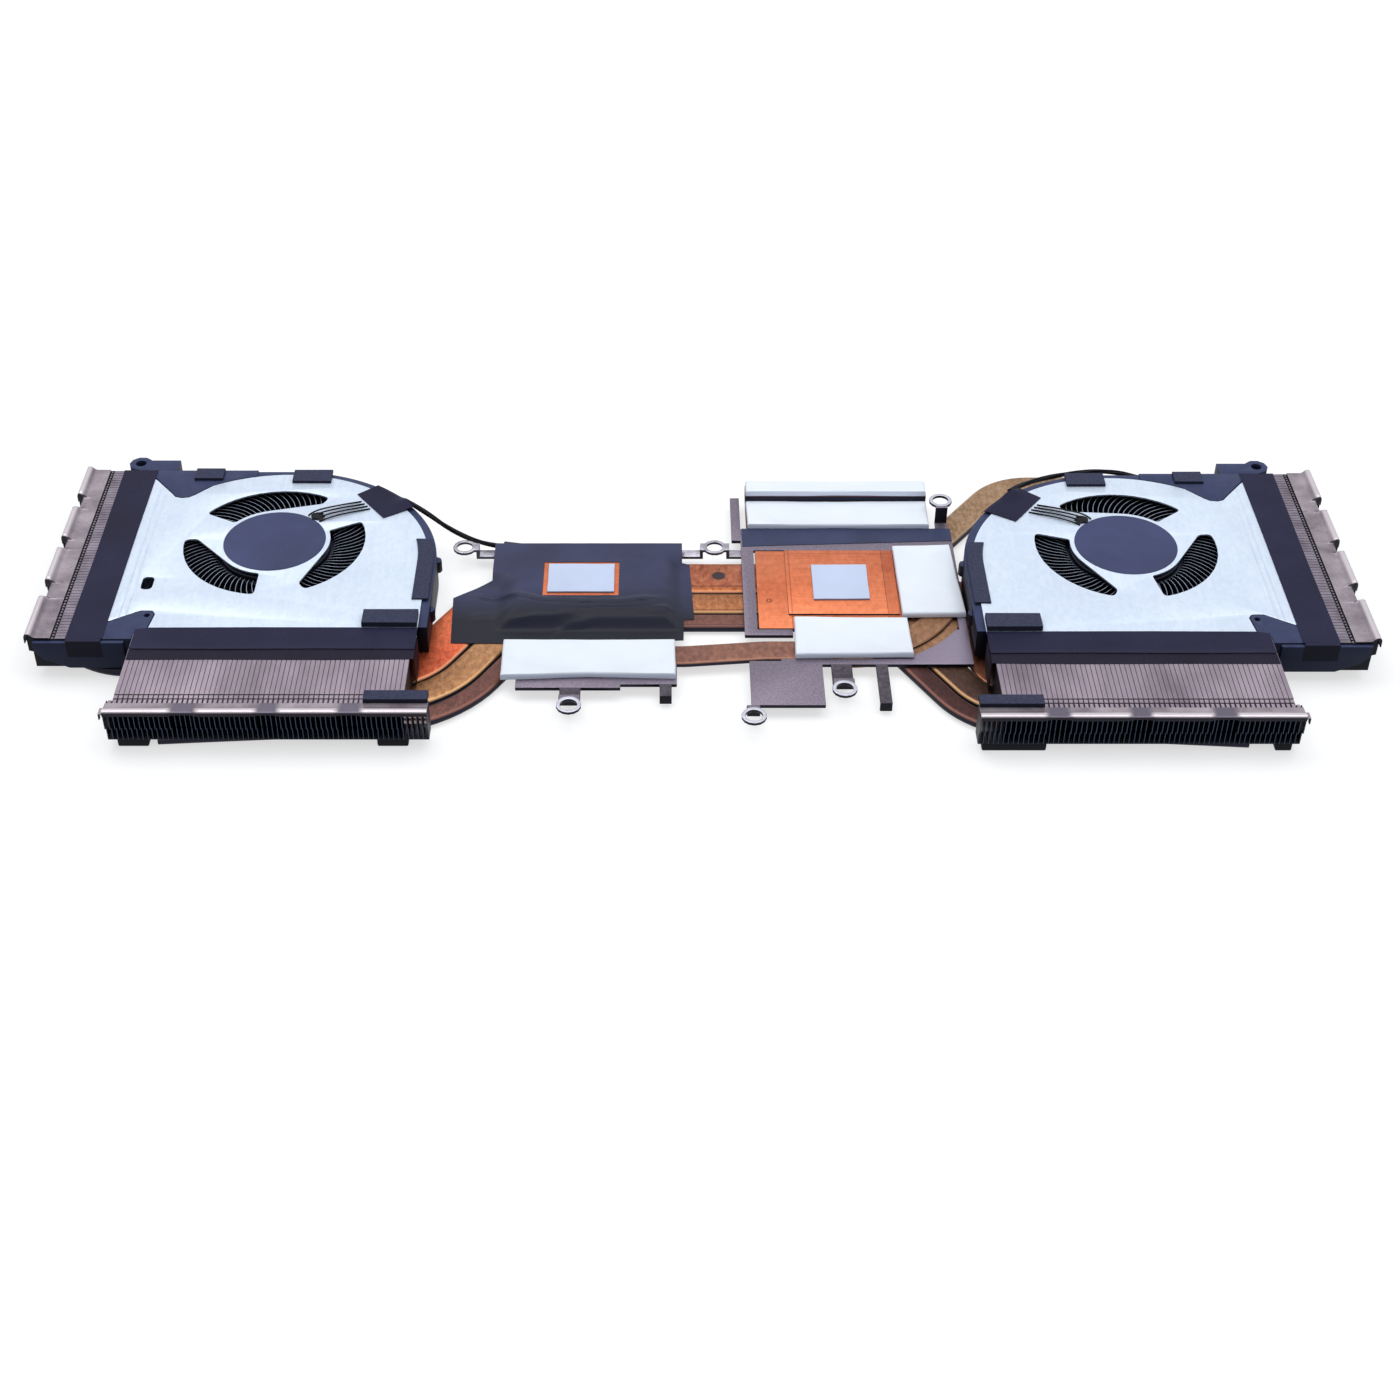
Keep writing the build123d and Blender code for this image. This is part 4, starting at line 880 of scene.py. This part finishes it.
def splinePoints(route):
    mesh = curveMesh([route], "NURBS", {"order_u": 3, "use_endpoint_u": True, "resolution_u": 8}, dimensions="3D")
    points = [vert.co.copy() for vert in mesh.vertices]
    bpy.data.meshes.remove(mesh)
    return points


leadSizes = {"radius": 0.22, "lift": 0.24, "startR": 13.9, "endR": 27.9, "start": (122, 128, 134, 140),
             "end": (138.5, 141.5, 144.5, 147.5), "glueR": 15.0, "glueAngle": 131, "glue": (1.9, 1.6, 0.33)}


def buildLeads(side):
    s, z = leadSizes, layout["top"] + leadSizes["lift"]
    bm = bmesh.new()
    for k, (first, last) in enumerate(zip(s["start"], s["end"])):
        a, b = polar(s["startR"], first), polar(s["endR"], last)
        middle = (a + b) / 2 + Vector((-0.5 + 0.35 * k, 0.9 - 0.25 * k))
        rise, fall = a + polar(1.8, first + 12), b - (b - middle) * 0.2
        route = [(*a, z - 0.1), (*rise, z + 0.55 - 0.1 * k), (*middle, z + 0.25), (*fall, z), (*b, z - 0.1)]
        tubeAlong(bm, splinePoints(route), s["radius"])
    place, (wide, deep, high) = polar(s["glueR"], s["glueAngle"]), s["glue"]
    for vert in bmesh.ops.create_icosphere(bm, subdivisions=3, radius=1.0)["verts"]:  # lump of glue at the hub's edge
        swell = 1 + 0.35 * noise.noise(vert.co * 1.7)
        vert.co = (place.x + wide * swell * vert.co.x, place.y + deep * swell * vert.co.y, z + 0.02 + high * vert.co.z)
    addPiece(f"{side}_leads", bm, ["lead"], (f"{side}_motor_wires",), fanPlace(side), 60)


cableSizes = {
    "strands": 4, "strandR": 0.36, "lay": 0.34, "twist": 45.0,
    "left": ((-33.4, 17.6, 11.75), (-38.4, 14.4, 10.6), (-45.0, 10.9, 7.2), (-53.5, 8.6, 4.1), (-59.4, 7.4, 4.1)),
    "right": ((-27.6, 24.4, 11.75), (-23.0, 31.0, 9.8), (-11.0, 36.2, 9.6), (2.0, 37.4, 10.0), (13.0, 36.4, 7.2),
              (20.5, 36.4, 7.2)),
}


def buildCable(side):
    s, middle = cableSizes, splinePoints(cableSizes[side])
    bm = bmesh.new()
    for k in range(s["strands"]):
        line, run = [], 0.0
        for point, following, ahead in zip(middle, middle[1:] + middle[-1:], headings(middle)):
            right = ahead.cross(Vector((0, 0, 1))).normalized()
            angle = 2 * math.pi * (k / s["strands"] + run / s["twist"])
            line.append(point + (right * math.cos(angle) + right.cross(ahead) * math.sin(angle)) * s["lay"])
            run += (following - point).length
        tubeAlong(bm, line, s["strandR"])
    addPiece(f"{side}_cable", bm, ["lead"], (f"{side}_fan_cable",), fanPlace(side), 60)


for side in sides:
    buildLeads(side)
    buildCable(side)
print("leads and cables laid")

pipeSizes = {"edge": 1.15, "arcStep": 5.0, "length": 6, "height": 2.4, "corner": 5}
pipeRoutes = {
    "wide_pipe": {"width": 13.3, "look": "wide", "slot": "pipe_orange", "radii": (30.8, 15, 40, 40, 16),
                  "points": ((47, 10.5), (-49.7, 10.5), (-72.97, -29.8), (-88.05, -29.8), (-119.95, -23.0),
                             (-159.45, -23.0), (-159.45, 42.7))},
    "middle_pipe": {"width": 8.5, "look": "middle", "slot": "pipe_gold", "radii": (26.3, 19.5, 19.5, 15),
                    "points": ((-132.85, -41.1), (-66.44, -41.1), (-43.18, -0.8), (46.7, -0.8), (70.66, -42.3),
                               (132.85, -42.3))},
    "narrow_pipe": {"width": 5.7, "look": "narrow", "slot": "pipe_brown", "radii": (33.8, 12, 12, 22.5),
                    "points": ((-131.45, -53.2), (-62.11, -48.6), (-38.85, -8.3), (42.37, -8.3), (66.33, -49.8),
                               (131.45, -54.4))},
    "rear_pipe": {"width": 8.5, "look": "rear", "slot": "pipe_gold", "radii": (16, 16, 16),
                  "points": ((17, 22.3), (60.8, 22.3), (84.9, 55), (159.45, 55), (159.45, -8.95))},
    "bridge_pipe": {"width": 7.6, "look": "bridge", "slot": "pipe_brown", "radii": (30, 30), "bottom": 1.8,
                    "height": 1.6,
                    "points": ((-41, -24.1), (-4, -24.1), (16, -22.1), (43, -22.1))},
    "wide_turn": {"width": 14.6, "look": "wideTurnShade", "slot": "pipe_orange", "radii": (16, 7.6), "height": 1.15,
                  "points": ((46.9, 10.5), (64, 10.5), (76.7, -30.7), (92, -30.7))},  # pressed flat below the right fan
}


def routeLine(points, radii):
    line = [Vector(points[0])]
    for before, here, after, radius in zip(points, points[1:], points[2:], radii):
        before, here, after = Vector(before), Vector(here), Vector(after)
        into, out = (here - before).normalized(), (after - here).normalized()
        turn = into.angle_signed(out)
        start = here - into * radius * math.tan(abs(turn) / 2)
        steps = max(3, round(math.degrees(abs(turn)) / pipeSizes["arcStep"]))
        centre = start + Vector((-into.y, into.x)) * (-radius if turn > 0 else radius)
        line += [centre + Matrix.Rotation(-turn * i / steps, 2) @ (start - centre) for i in range(steps + 1)]
    return line + [Vector(points[-1])]


def buildPipe(node, pipe):
    height, bottom, half = pipe.get("height", pipeSizes["height"]), pipe.get("bottom", 0.0), pipe["width"] / 2
    edge = min(pipeSizes["edge"], height / 2 - 0.02)
    flat, low, high = half - edge, bottom + edge, bottom + height - edge
    section = []
    for cx, cz, first in ((flat, low, -90), (flat, high, 0), (-flat, high, 90), (-flat, low, 180)):
        section += arcPoints(edge, first, first + 90, pipeSizes["corner"], (cx, cz))
    line, dense = routeLine(pipe["points"], pipe["radii"]), []
    for a, b in zip(line, line[1:]):
        steps = max(1, int((b - a).length / pipeSizes["length"]))
        dense += [a.lerp(b, i / steps) for i in range(steps)]
    dense.append(line[-1])
    rings = []
    for point, ahead in zip(dense, headings(dense)):
        rings.append([(point.x - ahead.y * d, point.y + ahead.x * d, z) for d, z in section])
    bm = bmesh.new()
    addLoft(bm, rings)
    addPiece(f"{node}_body", bm, [pipe["look"]], (node,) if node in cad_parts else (), sharp=60)


for node, pipe in pipeRoutes.items():
    buildPipe(node, pipe)

bridgeTurn = {  # bands are radii and heights
              "centre": (36.5, 5.9), "angles": (-92, -27), "steps": 32, "soft": 0.3,
              "bands": ((24.7, 31.9, 2.52, 3.38), (31.2, 34.4, 2.42, 2.6), (22.7, 25.1, 2.42, 2.6))}


def buildBridgeTurn():
    t, (first, last) = bridgeTurn, bridgeTurn["angles"]
    bm = bmesh.new()
    for inner, outer, low, high in t["bands"]:  # the flat pipe, then the thin ledges beside it
        soft = min(t["soft"], (high - low) * 0.4)
        section = ((inner, low), (outer, low), (outer, high - soft), (outer - soft, high), (inner + soft, high),
                   (inner, high - soft))
        rings = []
        for i in range(t["steps"] + 1):
            angle = first + (last - first) * i / t["steps"]
            rings.append([(*(Vector(t["centre"]) + polar(radius, angle)), z) for radius, z in section])
        addLoft(bm, rings)
    addPiece("bridge_turn", bm, ["bridgeTurn"], sharp=40)


buildBridgeTurn()
print("heat pipes built")

processorTape = {
    "plateTop": 4.92, "pipeTop": 2.42, "slope": (-9.3, -13.6), "thick": 0.1, "grid": 0.6,
    "leftSlope": (-46.6, 7.5, 10.5, 7), "rightSlope": (-9.6, 5.5, 19, 6), "crumple": 0.06,  # x, run, y, fade
    "outer": ((-54.5, 22.3), (-4.6, 22.3), (-4.6, 15.4), (-2.6, 15.0), (-1.6, -8.4), (-4.3, -8.6), (-4.4, -17.2),
              (-30.0, -19.0), (-63.6, -18.4), (-64.4, 0.9), (-60.1, 4.0), (-54.5, 7.0)),
    "window": ((-41.0, 13.6), (-21.2, 13.6), (-21.2, -1.2), (-41.0, -1.2)),
    "folds": (  # line along x, height and half width
        (((-62.0, 1.5), (-50.0, -0.5), (-40.0, -3.4), (-26.0, -4.4), (-8.0, -2.4)), 0.75, 1.2),
        (((-52.0, -11.5), (-40.0, -10.2), (-30.0, -8.0), (-16.0, -7.6), (-5.0, -6.2)), 0.6, 1.1),
        (((-40.0, -15.4), (-33.0, -12.0), (-24.0, -10.4)), 0.5, 0.9),
        (((-63.0, -8.0), (-54.0, -7.0), (-47.0, -5.0)), 0.5, 1.3),
    ),
}


def foldHeight(x, y, line, height, width):
    if not line[0][0] <= x <= line[-1][0]:
        return 0.0
    for (x0, y0), (x1, y1) in zip(line, line[1:]):
        if x0 <= x <= x1:
            middle = y0 + (y1 - y0) * smoothStep((x - x0) / (x1 - x0))
            break
    fade = smoothStep((x - line[0][0]) / 7) * smoothStep((line[-1][0] - x) / 7)
    off = y - middle - 0.5 * wave(x, 0, 7, middle)
    return height * fade * math.exp(-(off / (width if off > 0 else width * 0.6)) ** 2)


def processorHeight(x, y):
    s = processorTape
    rear, front = s["slope"]
    drop = smoothStep((rear - y) / (rear - front))
    (leftX, leftRun, leftY, leftFade), (rightX, rightRun, rightY, rightFade) = s["leftSlope"], s["rightSlope"]
    left = smoothStep((leftX - x) / leftRun) * smoothStep((leftY - y) / leftFade)
    right = smoothStep((x - rightX) / rightRun) * smoothStep((rightY - y) / rightFade)
    level = s["plateTop"] + (s["pipeTop"] - s["plateTop"]) * max(drop, left, right)
    return level + sum(foldHeight(x, y, *fold) for fold in s["folds"]) + s["crumple"] * abs(wave(x, y, 5, 6.0))


def buildProcessorTape():
    s = processorTape
    bm = fillOutline([s["outer"], s["window"]], 0.02, 0.0)
    upper = [face for face in bm.faces if abs(face.calc_center_median().z + 0.01) > 0.001]
    bmesh.ops.delete(bm, geom=upper, context="FACES")
    cutGrid(bm, s["grid"])
    for vert in bm.verts:
        vert.co.z = processorHeight(vert.co.x, vert.co.y)
    thicken(bm, s["thick"])
    addPiece("processor_wrap", bm, ["wrinkleTape"], ("processor_tape",), sharp=60)


buildProcessorTape()
print("processor tape laid")

padShapes = {  # outline, bottom and top
    "processor_pad": (((-39.8, 0.0), (-22.4, 0.0), (-22.4, 12.4), (-39.8, 12.4)), 4.9, 5.4),
    "processor_supply_pad": (((-50.0, -34.6), (-28, -33.6), (-6.5, -34.2), (-6.6, -20.0), (-50.0, -20.0)), 3.4, 5.1),
    "graphics_pad": (((29.4, -2.2), (44.0, -2.0), (44.0, 13.2), (29.4, 13.1)), 4.1, 4.6),
    "graphics_side_pad": (((51.9, -9.0), (68.2, -8.8), (66.9, 21.9), (51.6, 21.3)), 3.4, 5.1),
    "graphics_front_pad": (((23.6, -26.0), (53.3, -25.6), (52.9, -10.7), (23.9, -10.3)), 3.4, 5.1),
    "graphics_low_pad": (((13.3, 31.5), (62.5, 31.4), (62.6, 42.8), (13.0, 42.8)), 3.4, 4.9),
    "graphics_high_pad": (((13.0, 43.0), (62.5, 43.0), (62.5, 48.3), (13.0, 48.3)), 6.4, 7.9),
}
padSizes = {"greyPads": ("processor_pad", "graphics_pad"), "greySoft": 0.12, "whiteSoft": 0.55, "sway": 0.12}


def buildPad(node, outline, low, high):
    look = "grey" if node in padSizes["greyPads"] else "white"
    soft, loop, rings = padSizes[f"{look}Soft"], [], []
    for (x, y), (nextX, nextY) in zip(outline, outline[1:] + outline[:1]):
        steps = max(2, int(math.hypot(nextX - x, nextY - y) / 3))
        for k in range(steps):
            px, py = x + (nextX - x) * k / steps, y + (nextY - y) * k / steps
            off = padSizes["sway"] * wave(px, py, 7, low) if k else 0.0
            loop.append(Vector((px + off, py + off)))
    centre = sum(loop, Vector((0, 0))) / len(loop)
    levels = ((0.4, low), (0.0, low + soft * 0.4), (0.0, high - soft), (0.35, high - soft * 0.25), (1.0, high))
    for share, z in levels:
        inset = soft * share
        rings.append([(*(point - (point - centre).normalized() * inset), z) for point in loop])
    bm = bmesh.new()
    addLoft(bm, rings)
    addPiece(f"{node}_soft", bm, [look], (node,), sharp=45)


for node, (outline, low, high) in padShapes.items():
    buildPad(node, outline, low, high)
print("thermal pads laid")

bentArms = {  # places where the spring tabs bend down, as x and y ranges; there the steel takes a darker copy as painted shade
    "processor_bar": ((-10.8, -7.2, -42.0, -38.0), (-35.6, -29.6, -43.7, -38.0)),
    "graphics_bracket": ((32.0, 38.0, -37.3, -29.0), (43.2, 47.0, -45.0, -31.0), (9.0, 16.0, -47.8, -44.7)),
}
softCopies = {  # width of the rounded edges, look and slot
    "processor_bracket": (0.12, "ring", "bracket_steel"), "processor_bar": (0.12, "steel", "bracket_steel"),
    "graphics_bracket": (0.12, "steel", "bracket_steel"), "graphics_plate": (0.18, "cold", "plate_copper"),
    "processor_plate": (0.18, "cold", "plate_copper"), "graphics_spreader": (0.15, "bar", "bar_copper"),
    "left_fan_frame": (0.22, "frame", "housing_black"), "right_fan_frame": (0.22, "frame", "housing_black"),
    "rubber_feet": (0.4, "rubber", "foot_rubber"), "left_cable_plug": (0.15, "plug", "plug_black"),
    "right_cable_plug": (0.15, "plug", "plug_black"),
}
for node, (width, look, slot) in softCopies.items():
    softCopy(node, width, look, bentArms.get(node, ()))

rearFilm = {"outline": ((11.6, 31.4), (11.6, 23.0), (25.0, 23.7), (45.0, 24.6), (68.2, 25.7), (68.2, 31.4)),
            "thick": 0.12, "bottom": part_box("graphics_tape")[0][2] / milli}
buildSheet("rear_film", rearFilm["outline"], 1.2, lambda x, y: rearFilm["bottom"] + ripple(x, y, 0.04, 7, 3.0),
           rearFilm["thick"], "clearTape", ("graphics_tape",))

plainNodes = {"fan_floor": "plate", "rotor_shaft": "iron", "magnet_ring": "iron", "bearing_sleeve": "iron",
              "stator": "iron"}
for side in sides:
    for part, look in plainNodes.items():
        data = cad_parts[f"{side}_{part}"].data
        data.materials.clear()
        data.materials.append(mats[look])
print("brackets and frames softened")

stageLook = {"half": 3.0, "drop": 0.0002, "roughness": 0.9, "near": (0.45, 0.6), "glow": 0.62,
             "seen": (0.45, 0.452, 0.456), "bounce": (0.30, 0.31, 0.34), "sky": (0.93, 0.96, 1), "skyStrength": 0.5}


def seenRays(tree):
    rays = addNode(tree, "ShaderNodeLightPath")
    seen = maths(tree, "ADD", rays.outputs["Is Camera Ray"], rays.outputs["Is Glossy Ray"])
    return maths(tree, "ADD", seen, rays.outputs["Is Transmission Ray"], True)


def chooseSeen(tree, unseen, seen, socket):
    choose = addNode(tree, "ShaderNodeMixShader", {0: seenRays(tree), 1: unseen.outputs[0], 2: seen.outputs[0]})
    feed(tree, socket, choose.outputs[0])


def buildStage():
    s = stageLook
    bm = bmesh.new()
    place = Matrix.Translation((0, 0, -s["drop"]))
    bmesh.ops.create_grid(bm, x_segments=1, y_segments=1, size=s["half"], matrix=place)
    mesh = bpy.data.meshes.new("floor")
    bm.to_mesh(mesh)
    bm.free()
    mat, tree, shader = newMaterial("paleFloor", s["roughness"], 0.0, 0.0)
    shader.inputs["Base Color"].default_value = (*s["bounce"], 1)
    close = near(tree, (0, 0), *s["near"])  # full white away from the object
    glow = maths(tree, "SUBTRACT", 1.0, maths(tree, "MULTIPLY", close, 1 - s["glow"]))
    feeds = {"Base Color": s["seen"], "Roughness": s["roughness"], "Specular IOR Level": 0.0,
             "Emission Color": (1, 1, 1), "Emission Strength": glow}
    pale = addNode(tree, "ShaderNodeBsdfPrincipled", feeds)
    chooseSeen(tree, shader, pale, tree.nodes["Material Output"].inputs["Surface"])
    mesh.materials.append(mat)
    floor = bpy.data.objects.new("floor", mesh)
    bpy.context.scene.collection.objects.link(floor)


lamps = {  # place, size, power and colour
    "keyLight": ((-0.25, 0.25, 0.8), 0.7, 3.0, (1, 1, 1)),
    "fillLight": ((0.35, 0.10, 0.8), 0.7, 2.4, (0.96, 0.98, 1)),
}


def addLight(name, place, size, power, colour):
    lamp = bpy.data.lights.new(name, "AREA")
    lamp.shape = "DISK"
    lamp.size = size
    lamp.energy = power
    lamp.color = colour
    holder = bpy.data.objects.new(name, lamp)
    holder.location = place
    holder.rotation_euler = (-Vector(place)).to_track_quat("-Z", "Y").to_euler()
    bpy.context.scene.collection.objects.link(holder)


def buildWorld():
    world = bpy.data.worlds.new("studio")
    bpy.context.scene.world = world
    world.use_nodes = True
    tree = world.node_tree
    tree.nodes.clear()
    bright = addNode(tree, "ShaderNodeBackground", {"Color": (1, 1, 1), "Strength": 1.0})
    soft = addNode(tree, "ShaderNodeBackground", {"Color": stageLook["sky"], "Strength": stageLook["skyStrength"]})
    chooseSeen(tree, soft, bright, addNode(tree, "ShaderNodeOutputWorld").inputs["Surface"])


cameraView = {"lens": 55.29, "sensor": 36, "shiftX": 0.025, "place": (-0.00915, -0.4518, 0.3349), "tilt": 51}


def buildCamera():
    camera = bpy.data.cameras.new("camera")
    camera.lens = cameraView["lens"]
    camera.sensor_width = cameraView["sensor"]
    camera.shift_x = cameraView["shiftX"]  # level lines meet a little left of the middle
    holder = bpy.data.objects.new("camera", camera)
    holder.location = cameraView["place"]
    holder.rotation_euler = (math.radians(cameraView["tilt"]), 0, 0)
    bpy.context.scene.collection.objects.link(holder)
    bpy.context.scene.camera = holder


buildStage()
for name, (place, size, power, colour) in lamps.items():
    addLight(name, place, size, power, colour)
buildWorld()
buildCamera()
bpy.context.scene.view_settings.view_transform = "Standard"
print("stage, lights and camera set")
